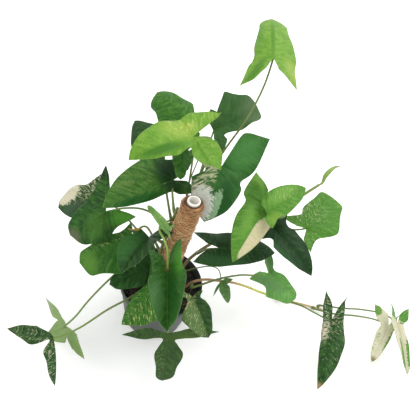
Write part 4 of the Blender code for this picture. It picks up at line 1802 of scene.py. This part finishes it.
@dataclass
class NewLeaf:
    """The new leaf at the growing end, still rolled into a pointed spindle."""

    columns: int = 44
    rows: int = 40
    overlap: float = 1.35
    thickness: float = 0.45
    spindle: tuple[Point, ...] = ((225, 186, 310), (231, 196, 319), (238, 205, 322), (246, 212, 321))

    def build(self, patterns: Patterns) -> None:
        """Rolls a grid round the spindle's line, its free edge lying over the first turn.

        Args:
            patterns: The shared node groups.
        """
        stem = smooth_route(STEMS["stem_right"], STEM_SPACING)
        heading = unit(stem[-1] - stem[-2])
        start = stem[-1] - heading * 1.5
        knots = [start, start + heading * 8.0, *self.spindle]
        line = even_points(smooth_route(knots, 1.0), self.rows + 1)
        share = np.linspace(0, 1, self.rows + 1)
        radii = 0.7 + 3.3 * np.sin(0.25 + (math.pi - 0.35) * share) ** 1.5
        deselect()
        bpy.ops.mesh.primitive_grid_add(x_subdivisions=self.columns, y_subdivisions=self.rows, size=2)
        roll = added("rolled_new_leaf")
        flat = read_points(roll.data)
        across = (flat[:, 0] + 1) / 2
        row = np.rint((flat[:, 1] + 1) / 2 * self.rows).astype(int)
        tangents = np.gradient(line, axis=0)
        tangents /= np.linalg.norm(tangents, axis=1)[:, None]
        side = np.cross(tangents, (0.0, 0.0, 1.0))
        side /= np.linalg.norm(side, axis=1)[:, None]
        top = np.cross(side, tangents)
        angle = math.tau * self.overlap * across + 1.6 * share[row]
        far = radii[row] * (0.78 + 0.3 * across)
        beside, over = far * np.cos(angle), far * np.sin(angle)
        places = line[row] + side[row] * beside[:, None] + top[row] * over[:, None]
        write_points(roll.data, places * MM)
        write_map(roll.data, "plane", np.stack([share[row], across], 1))
        thicken(roll, self.thickness, 0.0)
        apply_modifiers(roll)
        mend(roll)
        roll.data.shade_smooth()
        roll.data.materials.append(self.finish(patterns))
        settle(roll, "pale", "new_leaf_rolled")

    def finish(self, patterns: Patterns) -> bpy.types.Material:
        """Olive green with a reddish brown free edge and a dry brown tip.

        Args:
            patterns: The shared node groups.

        Returns:
            The finished material.
        """
        sheet = Coat("rolled_leaf")
        share, across, _ = sheet.parts(sheet.uv("plane"))
        tone, grain = sheet.mottle(patterns, 160.0, 1.4)
        colour = sheet.blend(tone, srgb(96, 128, 48), srgb(132, 160, 70))
        lines = sheet.noise(sheet.vector(share * 4.0, across * 40.0), 1.0)
        colour = sheet.blend(sheet.step(lines, 0.5, 0.7), colour, srgb(150, 176, 92))
        colour = sheet.blend(sheet.step(across, 0.93, 0.99) * 0.8, colour, srgb(122, 78, 52))
        colour = sheet.blend(sheet.step(share, 0.74, 0.96), colour, srgb(128, 108, 88))
        return sheet.finish(colour, grain * 0.2 + 0.4, lines, 0.3, 0.0004)


@dataclass
class Studio:
    """The plain pale floor, the soft lights and the camera at the photograph's angle."""

    place: Vector = field(default_factory=lambda: Vector((0.0404, -0.59644, 0.96286)))
    elevation: float = 46.5
    roll: float = 17.6
    focal_length: float = 560.0 / 416.0 * 36.0

    def build(self) -> None:
        """Sets up everything round the plant that isn't part of it."""
        self.build_camera()
        self.build_floor()
        self.build_light()

    def build_camera(self) -> None:
        """Places the camera above the front of the plant, looking down on it."""
        data = bpy.data.cameras.new("camera")
        data.lens = self.focal_length
        data.sensor_width = 36.0
        data.clip_start = 0.01
        camera = bpy.data.objects.new("camera", data)
        bpy.context.scene.collection.objects.link(camera)
        tilt = math.radians(90.0 - self.elevation)
        spin = Matrix.Rotation(tilt, 4, "X") @ Matrix.Rotation(math.radians(self.roll), 4, "Z")
        camera.matrix_world = Matrix.Translation(self.place) @ spin
        bpy.context.scene.camera = camera

    def build_floor(self) -> None:
        """Lays a plain white table top under the pot."""
        deselect()
        bpy.ops.mesh.primitive_plane_add(size=8.0, location=(0.0, 0.0, -0.0005))
        floor = added("table_top")
        place_in_mesh(floor)
        sheet = Coat("table_top")
        inputs = sheet.shader.inputs
        colour = sheet.blend(sheet.noise(sheet.place(), 3.0), srgb(250, 250, 249), srgb(246, 246, 246))
        sheet.feed(inputs["Base Color"], colour)
        inputs["Roughness"].default_value = 0.7
        inputs["Emission Color"].default_value = (1.0, 1.0, 1.0, 1.0)
        inputs["Emission Strength"].default_value = 0.16
        floor.data.materials.append(sheet.material)

    def build_light(self) -> None:
        """A bright even sky and two large soft lamps from the upper left and from behind the camera."""
        scene = bpy.context.scene
        scene.view_settings.view_transform = "Standard"
        world = bpy.data.worlds.new("studio")
        world.use_nodes = True
        sky = world.node_tree.nodes["Background"].inputs
        sky["Color"].default_value = (1.0, 1.0, 1.0, 1.0)
        sky["Strength"].default_value = 1.0
        scene.world = world
        for name, place, size, power in (
            ("key_light", (0.5, 0.7, 1.9), 1.5, 19.0),
            ("fill_light", (-0.9, -0.9, 1.5), 1.4, 6.0),
        ):
            data = bpy.data.lights.new(name, "AREA")
            data.shape = "DISK"
            data.size = size
            data.energy = power
            lamp = bpy.data.objects.new(name, data)
            scene.collection.objects.link(lamp)
            lamp.location = place
            aim = Vector((0.05, 0.05, 0.15)) - Vector(place)
            lamp.rotation_euler = aim.to_track_quat("-Z", "Y").to_euler()


# Leaf colours that several leaves share
CREAM = (226, 220, 192)
IVORY = (202, 204, 164)
STRAW = (186, 200, 100)
MOSS = (112, 146, 74)

# Each look also sets how strong the painted highlight on the bands between the veins is
LIME = BladeLook((122, 170, 60), (100, 150, 52), (162, 196, 96), rays=0.1, spacing=1.35)
FRESH = BladeLook((98, 154, 58), (78, 134, 48), (142, 184, 92), rays=0.12, spacing=1.2)
MID = BladeLook((68, 122, 46), (46, 98, 38), (112, 156, 74), rays=0.14, spacing=1.3)
DARK = BladeLook((50, 90, 42), (34, 66, 34), (88, 128, 68), rays=0.1, spacing=1.2)
DARKEST = BladeLook((32, 72, 34), (24, 60, 28), (66, 106, 56), rays=0.08, veins=0.2)
PALE = BladeLook((126, 172, 90), (102, 148, 76), (168, 198, 128), rays=0.12, spacing=0.9)
WHITISH = BladeLook((232, 228, 204), (218, 216, 176), (244, 238, 220), rays=0.08, veins=0.16, spacing=0.9)


def soft(*values: object, **more: object) -> Patch:
    """A patch that changes the blade's tone slowly, its values in Patch's order."""
    return Patch(*values, edge=Edge.SOFT, **more)


def flecks(*values: object, **more: object) -> Patch:
    """A patch of flecks that run along the veins, its values in Patch's order."""
    return Patch(*values, edge=Edge.FLECKED, **more)


# Each leaf's name, slot, stem and place on it; the points that its petiole passes, where the blade is
# attached and its tip, in millimetres; its halves and how full and arched it is; and its look
# In the looks, a half's share of painted shade darkens that half of the blade
LEAVES: tuple[Leaf, ...] = (
    Leaf(
        "leaf_01_crown", "lime", "stem_back", 0.72,
        ((19, 84, 292), (37, 137, 338), (57, 158, 400), (67, 186, 450)), (68, 213, 490), (47, 332, 492),
        Side((30, 156, 458), 33, 22, 14, 1.1), Side((117, 165, 478), 42, 24, 12, 1.1), 0.65, 0.3, 9, 1.0,
        LIME.marked(
            soft(-2.1, -3.6, 2.9, 1.3, (152, 182, 80), 14), soft(-2.7, 3.1, 2.8, 0.8, (86, 136, 46), -34),
            soft(6.4, 2.6, 3.7, 0.9, (104, 156, 62)), soft(5.0, 0.0, 5.0, 0.35, (92, 142, 48)),
            petiole=((116, 98, 50), (98, 128, 54)),
        ),
    ),
    Leaf(
        "leaf_02_upper_left", "lime", "stem_back", 0.96,
        ((8, 66, 290), (14, 112, 330), (12, 108, 378)), (-15, 67, 405), (-92, -9, 390),
        Side((42, 31, 390), 24, 23, 26), Side((22, 128, 416), 42, 35, 30, 0.9), 0.35, 0.38, 10, 1.5,
        LIME.marked(
            soft(1.6, -1.8, 3.0, 1.8, (160, 188, 82), -20, strength=0.7),
            flecks(1.1, -2.0, 2.6, 1.6, STRAW, -20, amount=0.6, grain=1.6),
            flecks(-4.2, -2.9, 2.0, 1.6, (160, 188, 76), amount=0.5, grain=1.6),
            soft(6.0, 0.8, 3.6, 0.8, (72, 124, 42), -5),
            flecks(-1.6, 3.6, 2.2, 1.3, (168, 190, 88), -67, amount=0.45, grain=1.5),
            main=(112, 164, 54), shade=(0.5, 0.0),
        ),
    ),
    Leaf(
        "leaf_03_back_round", "mid", "stem_back", 0.78,
        ((-4, 90, 290), (-14, 140, 318)), (-24, 175, 339), (-115, 247, 330),
        Side((-10, 137, 320), 46, 15, 9), Side((-15, 208, 336), 36, 12, 8, 1.0), 0.6, 0.45, 8, 1.5,
        MID.marked(main=(66, 124, 42), light=(120, 164, 72), shade=(0.2, 0.0), veins=0.4),
    ),
    Leaf(
        "leaf_04_back_dark", "dark", "stem_left", 0.86, ((-36, 44, 306),), (-57, 96, 331), (-129, 159, 323),
        Side((-59, 46, 296), 42, 16, 10, 1.15), Side((-13, 128, 336), 28, 16, 10), 0.3, 0.44, 6, 1.5,
        DARK.marked(main=(42, 78, 36)),
    ),
    Leaf(
        "leaf_05_back_right", "dark", "stem_back", 0.58,
        ((8, 90, 250), (8, 150, 292)), (7, 191, 330), (80, 276, 335),
        Side((-10, 214, 352), 56, 36, 8, 1.0), Side((36, 150, 322), 22, 18, 8, 1.0), 0.6, 0.42, 6, 1.5,
        DARK.marked(soft(9.5, 0.5, 2.6, 3.0, (92, 120, 80)), main=(72, 116, 60), deep=(58, 96, 50)),
    ),
    Leaf(
        "leaf_06_marbled", "marbled", "stem_back", 0.87,
        ((30, 50, 300), (38, 74, 332)), (41, 80, 354), (41, 5, 295),
        Side((104, 146, 384), 44, 33, 34, 0.95), Side((-6, 93, 341), 44, 12, 9), 0.3, 0.31, 8, 1.5,
        DARK.marked(
            soft(-3.5, 3.0, 3.6, 2.2, (76, 132, 66), -29), soft(5.5, 1.9, 3.2, 1.6, (36, 82, 34), -6),
            flecks(3.0, -2.6, 6.0, 3.4, (150, 172, 124), half=Half.RIGHT, amount=0.5, grain=1.4),
            Patch(0.8, -2.8, 2.9, 1.9, (196, 202, 160), 41, half=Half.RIGHT),
            Patch(4.4, -2.8, 2.2, 1.3, CREAM, -72, half=Half.RIGHT),
            flecks(2.4, -2.6, 3.4, 2.6, (72, 114, 62), half=Half.RIGHT, amount=0.78, grain=2.4),
            Patch(6.8, 0.9, 3.0, 0.8, (136, 168, 128), -4), Patch(7.6, -1.9, 3.4, 2.4, (212, 216, 204), -8),
            main=(58, 110, 50), deep=(42, 90, 38),
        ),
    ),
    Leaf(
        "leaf_07_large_left", "mid", "stem_left", 0.94, ((-21, 31, 306),), (-26, 44, 326), (-118, -28, 291),
        Side((16, 57, 301), 20, 16, 8), Side((-13, 110, 346), 56, 20, 12, 1.1), 0.3, 0.38, 8, 1.5,
        MID.marked(
            flecks(5.6, -2.8, 4.6, 2.6, MOSS, 12, amount=0.65, grain=2.2, strength=0.8),
            soft(-0.1, -1.2, 4.3, 2.5, (34, 66, 34), 88), soft(6.3, 1.1, 4.4, 0.8, (46, 98, 44), -8),
            light=(118, 152, 78), rays=0.3, veins=0.3, spacing=1.6,
        ),
    ),
    Leaf(
        "leaf_08_star", "mid", "stem_left", 0.72,
        ((-37, 30, 244), (-65, 33, 248), (-95, 26, 244)), (-122, 11, 240), (-165, -37, 210),
        Side((-73, 31, 225), 52, 26, 6), Side((-153, 93, 263), 35, 19, 8, 1.15), 0.5, 0.36, 7, 2.0,
        DARK.marked(
            soft(-2.4, 3.6, 3.0, 1.7, (92, 160, 60), -50), soft(-4.0, -6.6, 1.6, 1.2, (36, 60, 40), 60),
            soft(2.8, 1.4, 2.5, 1.6, (96, 146, 66), 40, strength=0.5),
            soft(6.7, 0.8, 1.5, 1.0, (104, 112, 84), 80),
            main=(48, 98, 38), light=(96, 146, 66), veins=0.5,
        ),
    ),
    Leaf(
        "leaf_09_narrow", "pale", "stem_left", 0.88, ((-19, -10, 280),), (-7, -26, 285), (-53, 0, 298),
        Side((-1, -40, 281), 8, 3, 1, 1.0), Side((-2, -14, 292), 7, 3, 1, 1.0), 0.5, 0.3, 2, 0.3,
        PALE.marked(main=(136, 180, 96)),
    ),
    Leaf(
        "leaf_10_lower_left", "mid", "stem_left", 0.5,
        ((-52, 34, 205), (-68, 22, 198)), (-77, 0, 185), (-140, -53, 165),
        Side((-47, -31, 170), 46, 13, 8, 1.0), Side((-82, 38, 200), 26, 12, 7), 0.6, 0.33, 7, 1.5,
        MID.marked(
            flecks(4.2, -1.7, 4.0, 1.0, (186, 196, 140), -2, amount=0.5),
            soft(7.0, 0.6, 2.2, 1.2, (92, 142, 58), -88), soft(5.0, -2.8, 3.0, 0.7, (84, 136, 54)),
            main=(60, 114, 42), shade=(0.5, 0.0),
        ),
    ),
    Leaf(
        "leaf_11_white_left", "marbled", "stem_left", 0.42,
        ((-70, 48, 172), (-120, 78, 178)), (-160, 84, 190), (-217, 39, 175),
        Side((-132, 49, 175), 45, 13, 8), Side((-167, 128, 207), 30, 16, 8, 1.0), 0.4, 0.38, 5, 2.5,
        DARK.marked(
            soft(5.0, 1.5, 2.3, 1.6, (70, 94, 70), -20),
            flecks(1.2, -2.3, 3.4, 2.6, IVORY, 15, amount=0.62), Patch(5.2, -2.5, 2.9, 2.1, CREAM, 37),
            main=(60, 88, 52),
        ),
    ),
    Leaf(
        "leaf_12_dark_left", "dark", "stem_left", 0.6, ((-34, 4, 226),), (-38, -11, 236), (-60, -84, 216),
        Side((-1, -15, 271), 42, 22, 10, 1.15), Side((-77, -9, 236), 31, 9, 7), 0.3, 0.32, 8, 1.5,
        DARK.marked(
            soft(3.6, -2.0, 3.2, 2.0, (62, 114, 54), -5, half=Half.RIGHT, strength=0.8),
            Patch(-0.1, -2.5, 1.5, 0.5, (190, 152, 70), -50, edge=Edge.CLEAN),
            main=(42, 78, 40), shade=(0.6, 0.0),
        ),
    ),
    Leaf(
        "leaf_13_low_dark", "dark", "stem_front", 0.35,
        ((-6, -27, 136), (-19, -15, 140)), (-26, -8, 150), (-82, -60, 140),
        Side((0, -41, 140), 28, 12, 6), Side((-37, 23, 165), 19, 10, 6), 0.5, 0.3, 6, 1.4,
        DARK.marked(main=(44, 88, 40), deep=(34, 72, 34)),
    ),
    Leaf(
        "leaf_14_front_large", "mid", "stem_left", 0.82,
        ((-24, -6, 273), (-22, -24, 275), (-12, -36, 275), (0, -48, 262)), (8, -59, 235), (38, -149, 200),
        Side((14, -29, 280), 50, 27, 10), Side((-28, -58, 264), 40, 24, 9), 0.4, 0.31, 9, 1.2,
        MID.marked(
            soft(-0.6, 3.3, 2.6, 2.0, (84, 148, 58), -34), soft(4.3, 1.6, 4.0, 1.3, (52, 96, 46), 2),
            soft(5.2, -2.3, 2.6, 1.4, (80, 120, 72), 5),
            soft(0.2, -0.1, 0.5, 0.5, (176, 140, 110), strength=0.6),
            main=(62, 108, 50), deep=(48, 88, 42), light=(100, 142, 80), veins=0.6,
            petiole=((128, 160, 66), (146, 184, 76)),
        ),
    ),
    Leaf(
        "leaf_15_marbled_front", "speckled", "stem_front", 0.75, (), (-4, -47, 160), (-38, -121, 130),
        Side((28, -64, 145), 45, 11, 7), Side((-27, -7, 160), 19, 8, 7, 0.95), 0.3, 0.33, 6, 1.5,
        MID.marked(
            flecks(5.0, 1.8, 4.2, 1.8, (204, 208, 128), -24, amount=0.5),
            flecks(4.0, -1.0, 5.0, 2.6, (160, 190, 116), -13, amount=0.42),
            main=(64, 118, 44),
        ),
    ),
    Leaf(
        "leaf_16_three_lobed", "dark", "stem_front", 0.5,
        ((24, -60, 142), (34, -88, 136)), (40, -103, 118), (55, -151, 42),
        Side((125, -70, 118), 30, 10, 9, 0.55), Side((-33, -133, 119), 20, 9, 12, 0.6), 0.6, 0.4, 4, 1.0,
        DARK.marked(
            soft(0.5, 5.2, 1.4, 4.6, (84, 112, 56)),
            flecks(4.6, -1.4, 3.4, 1.2, (156, 184, 124), 10, amount=0.45, grain=0.7),
            main=(66, 94, 50), deep=(54, 76, 46),
        ),
    ),
    Leaf(
        "leaf_17_front_right", "speckled", "stem_front", 0.6,
        ((40, -36, 150),), (62, -46, 160), (108, -93, 127),
        Side((75, -30, 165), 20, 7, 4, 1.1), Side((42, -55, 165), 36, 7, 5, 1.1), 0.4, 0.42, 5, 1.0,
        DARK.marked(
            soft(3.0, -1.6, 4.6, 1.7, (112, 140, 84), half=Half.RIGHT, strength=0.7),
            flecks(3.0, -1.4, 4.6, 1.8, (186, 194, 140), half=Half.RIGHT, amount=0.5),
            flecks(-0.4, -1.2, 1.6, 1.3, (214, 210, 152), -82, amount=0.7, grain=1.5),
            main=(66, 98, 50),
        ),
    ),
    Leaf(
        "leaf_18_cream", "cream", "stem_right", 0.62, ((140, 124, 255),), (136, 103, 275), (106, -10, 238),
        Side((150, 128, 280), 25, 8, 5), Side((103, 158, 295), 36, 32, 10), 0.3, 0.4, 9, 1.2,
        FRESH.marked(
            soft(-2.9, -3.6, 1.6, 0.9, (130, 172, 74), 48), soft(4.6, -1.5, 3.2, 0.9, (112, 164, 66), 7),
            soft(-1.0, -2.8, 2.4, 1.4, (82, 134, 50), 40),
            Patch(6.4, 3.0, 6.4, 3.3, (218, 210, 168), -8, half=Half.LEFT, edge=Edge.CLEAN),
            flecks(6.4, 3.0, 5.6, 3.0, (190, 190, 140), -8, half=Half.LEFT, amount=0.3),
            veins=0.28,
        ),
    ),
    Leaf(
        "leaf_19_cream_twin", "lime", "stem_right", 0.7,
        ((174, 108, 262), (160, 82, 278)), (139, 72, 288), (194, 146, 306),
        Side((129, 111, 300), 30, 11, 11), Side((154, 48, 285), 22, 14, 9, 1.0), 0.3, 0.29, 5, 1.0,
        FRESH.marked(
            soft(4.5, 1.3, 3.2, 1.1, (116, 166, 70)),
            flecks(5.0, 1.0, 2.6, 1.0, (176, 200, 130), -14, amount=0.5),
            soft(0.5, -1.9, 1.3, 1.2, (136, 172, 68), 86, strength=0.7),
            main=(94, 150, 54), shade=(0.0, 0.3),
        ),
    ),
    Leaf(
        "leaf_20_speckled", "speckled", "stem_right", 0.5,
        ((160, 140, 196), (191, 138, 200), (209, 131, 212)), (225, 128, 225), (254, 209, 250),
        Side((176, 132, 235), 28, 16, 6, 1.1), Side((241, 84, 215), 50, 15, 10), 0.6, 0.34, 6, 1.5,
        FRESH.marked(
            flecks(2.6, 1.6, 3.6, 2.0, (216, 220, 178), -54, amount=0.5, grain=0.8),
            flecks(0.0, -1.0, 4.0, 2.6, (190, 204, 150), 31, amount=0.36, grain=0.8),
            main=(84, 140, 58),
        ),
    ),
    Leaf(
        "leaf_21_darkest", "dark", "stem_right", 0.54, ((150, 112, 218),), (162, 96, 235), (251, 41, 205),
        Side((182, 136, 245), 28, 13, 6), Side((137, 56, 235), 32, 12, 8, 1.1), 0.3, 0.28, 9, 1.0,
        DARKEST.marked(soft(4.0, -2.8, 4.0, 0.6, (50, 92, 50), 8), gloss=0.34),
    ),
    Leaf(
        "leaf_22_slit", "dark", "stem_right", 0.24, ((62, 58, 168),), (81, 51, 190), (185, 93, 175),
        Side((29, 64, 195), 35, 20, 9), Side((44, 8, 183), 30, 24, 7, 1.15), 0.3, 0.37, 7, 1.0,
        DARK.marked(soft(0.5, -2.6, 4.0, 1.0, (58, 98, 56)), main=(40, 78, 42), deep=(30, 62, 32)),
    ),
    Leaf(
        "leaf_23_lower_right", "pale", "runner", 0.08,
        ((58, 3, 118), (101, 34, 126), (137, 59, 123), (165, 76, 114)), (191, 95, 110), (257, 70, 90),
        Side((180, 139, 130), 17, 9, 10, 0.8), Side((157, 68, 108), 42, 20, 8, 1.0), 0.5, 0.35, 6, 1.0,
        PALE.marked(
            soft(1.3, -1.9, 2.9, 1.3, (112, 162, 98), 20), soft(-1.4, 2.2, 2.2, 0.9, (88, 128, 78), -39),
            main=(116, 182, 90), deep=(98, 160, 78),
        ),
    ),
    Leaf(
        "leaf_24_small_arrow", "pale", "stem_right", 0.12,
        ((53, 34, 135), (77, 42, 143), (95, 46, 134)), (105, 38, 115), (130, 9, 95),
        Side((126, 47, 120), 12, 7, 4), Side((99, 9, 100), 9, 2, 3), 0.4, 0.34, 3, 0.4,
        PALE.marked(main=(98, 142, 80), deep=(84, 124, 70)),
    ),
    Leaf(
        "leaf_25_turned_pale", "pale", "stem_left", 0.14,
        ((-46, 16, 124), (-70, -5, 127), (-90, -34, 114), (-112, -70, 88), (-124, -99, 73)),
        (-133, -122, 71), (-168, -121, 12),
        Side((-191, -86, 74), 16, 18, 10, 1.35), Side((-81, -171, 71), 26, 17, 11, 0.85), 0.4, 0.34, 5, 1.0,
        PALE.marked(
            soft(3.0, 4.0, 2.3, 1.0, (152, 162, 132), -52), soft(-0.6, -4.1, 2.8, 1.2, (106, 148, 62), 38),
            soft(6.6, 0.0, 0.9, 1.0, (84, 74, 52)),
            main=(132, 164, 82), edge=(176, 150, 104),
        ),
    ),
    Leaf(
        "leaf_26_far_left", "marbled", "stem_left", 0.08,
        ((-30, -40, 118), (-46, -68, 124), (-72, -92, 112), (-105, -126, 90), (-130, -146, 80)),
        (-144, -152, 80), (-108, -228, 70),
        Side((-148, -160, 35), 28, 11, 8, 0.8), Side((-213, -173, 100), 20, 22, 13, 0.6), 0.4, 0.36, 5, 2.0,
        DARK.marked(
            flecks(3.6, -1.4, 4.4, 1.8, (196, 202, 172), amount=0.55),
            flecks(-0.6, -4.2, 2.0, 2.6, (160, 174, 134), amount=0.5),
            main=(60, 96, 50), edge=(170, 148, 106),
        ),
    ),
    Leaf(
        "leaf_27_hanging", "marbled", "runner", 0.74,
        ((285, 110, 22), (306, 84, 48), (324, 64, 68)), (338, 62, 75), (332, -76, 42),
        Side((353, 113, 91), 30, 13, 5, 0.7), Side((316, 113, 91), 17, 14, 4, 1.2), 0.3, 0.33, 8, 1.5,
        DARK.marked(
            flecks(3.0, 0.0, 8.0, 4.0, (176, 182, 142), amount=0.36),
            flecks(-1.6, 0.4, 5.0, 2.6, (208, 206, 170), 4, amount=0.52),
            flecks(3.2, -1.2, 2.2, 1.0, (212, 204, 178), -4, amount=0.8),
            soft(13.9, 0.0, 0.9, 0.6, (176, 148, 108)),
            main=(60, 102, 50), edge=(150, 150, 104),
        ),
    ),
    Leaf(
        "leaf_28_end_white", "white", "runner", 0.95,
        ((365, 126, 8), (405, 130, 18), (440, 118, 42)), (466, 109, 50), (442, 28, 25),
        Side((479, 140, 60), 13, 9, 6), Side((431, 145, 58), 17, 14, 12), 0.4, 0.33, 5, 1.0,
        WHITISH.marked(
            soft(-2.1, 0.6, 1.6, 1.1, (102, 168, 54), 12), Patch(-1.6, -3.4, 1.1, 0.9, (104, 158, 66), 71),
            Patch(4.0, 1.4, 3.6, 0.6, (110, 156, 72)),
            flecks(5.4, -1.1, 3.4, 0.5, (140, 168, 96), amount=0.6),
            soft(8.6, 0.0, 0.8, 0.6, (150, 130, 88)),
            edge=(124, 160, 84),
        ),
    ),
    Leaf(
        "leaf_29_end_striped", "white", "runner", 0.98,
        ((380, 146, 9), (420, 150, 20), (460, 136, 46)), (475, 106, 68), (505, 10, 46),
        Side((495, 141, 81), 12, 12, 7), Side((454, 145, 84), 26, 13, 9), 0.4, 0.33, 6, 1.0,
        WHITISH.marked(
            Patch(-1.5, 1.6, 1.8, 1.3, (82, 146, 50), -23), Patch(-2.6, -1.4, 1.9, 1.1, (90, 152, 56), 10),
            Patch(5.9, 1.1, 3.6, 0.7, (92, 152, 60), -6), Patch(6.4, -1.0, 3.4, 0.5, (96, 154, 66)),
            edge=(110, 156, 74),
        ),
    ),
    Leaf(
        "leaf_30_under_crown", "mid", "stem_back", 0.84,
        ((-3, 74, 290), (0, 118, 330), (-6, 112, 356)), (-33, 88, 368), (-14, 29, 346),
        Side((-17, 106, 366), 15, 7, 4), Side((-54, 94, 362), 15, 7, 4), 0.5, 0.38, 4, 0.8,
        MID.marked(shade=(0.7, 0.0)),
    ),
)


# Each stem's colours at shares of its length, its joints, how many roots it has, and their seed
FOOT = (98, 80, 50)
STEM_PIECES: tuple[Stem, ...] = (
    Stem(
        "stem_left", ((0.0, FOOT), (0.15, (100, 92, 52)), (0.9, (102, 124, 58))),
        (0.1, 0.16, 0.42, 0.52, 0.6, 0.72, 0.83, 0.94), 22, 3,
    ),
    Stem(
        "stem_back", ((0.0, FOOT), (0.2, (104, 98, 56)), (0.9, (104, 128, 60))),
        (0.14, 0.34, 0.58, 0.72, 0.87), 16, 4,
    ),
    Stem("stem_front", ((0.0, FOOT), (0.9, (104, 118, 58))), (0.25, 0.5, 0.76), 8, 6),
    Stem(
        "stem_right", ((0.0, FOOT), (0.1, (112, 98, 58)), (0.9, (118, 138, 66))),
        (0.11, 0.24, 0.38, 0.51, 0.62, 0.71, 0.85), 16, 7,
    ),
    Stem(
        "runner",
        (
            (0.0, (176, 132, 94)), (0.14, (190, 150, 110)), (0.3, (168, 118, 84)), (0.45, (196, 182, 92)),
            (0.55, (212, 212, 92)), (0.75, (150, 168, 62)), (0.93, (206, 172, 130)),
        ),
        (0.08, 0.3, 0.52, 0.74, 0.94), 14, 8,
    ),
)


def main() -> None:
    """Builds the plant from the pot up, and reports each piece."""
    logging.basicConfig(level=logging.INFO, format="%(name)s: %(message)s")
    Studio().build()
    log.info("studio ready")
    patterns = Patterns()
    for maker in (Pot(), PottingMix(), Pole(), NewLeaf()):
        maker.build(patterns)
        log.info("%s built", type(maker).__name__)
    for stem in STEM_PIECES:
        stem.build(patterns)
        log.info("%s built", stem.name)
    for leaf in LEAVES:
        built = leaf.build(patterns)
        log.info("%s built, %d faces", leaf.name, len(built.data.polygons))
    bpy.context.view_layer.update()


if __name__ == "__main__":
    main()
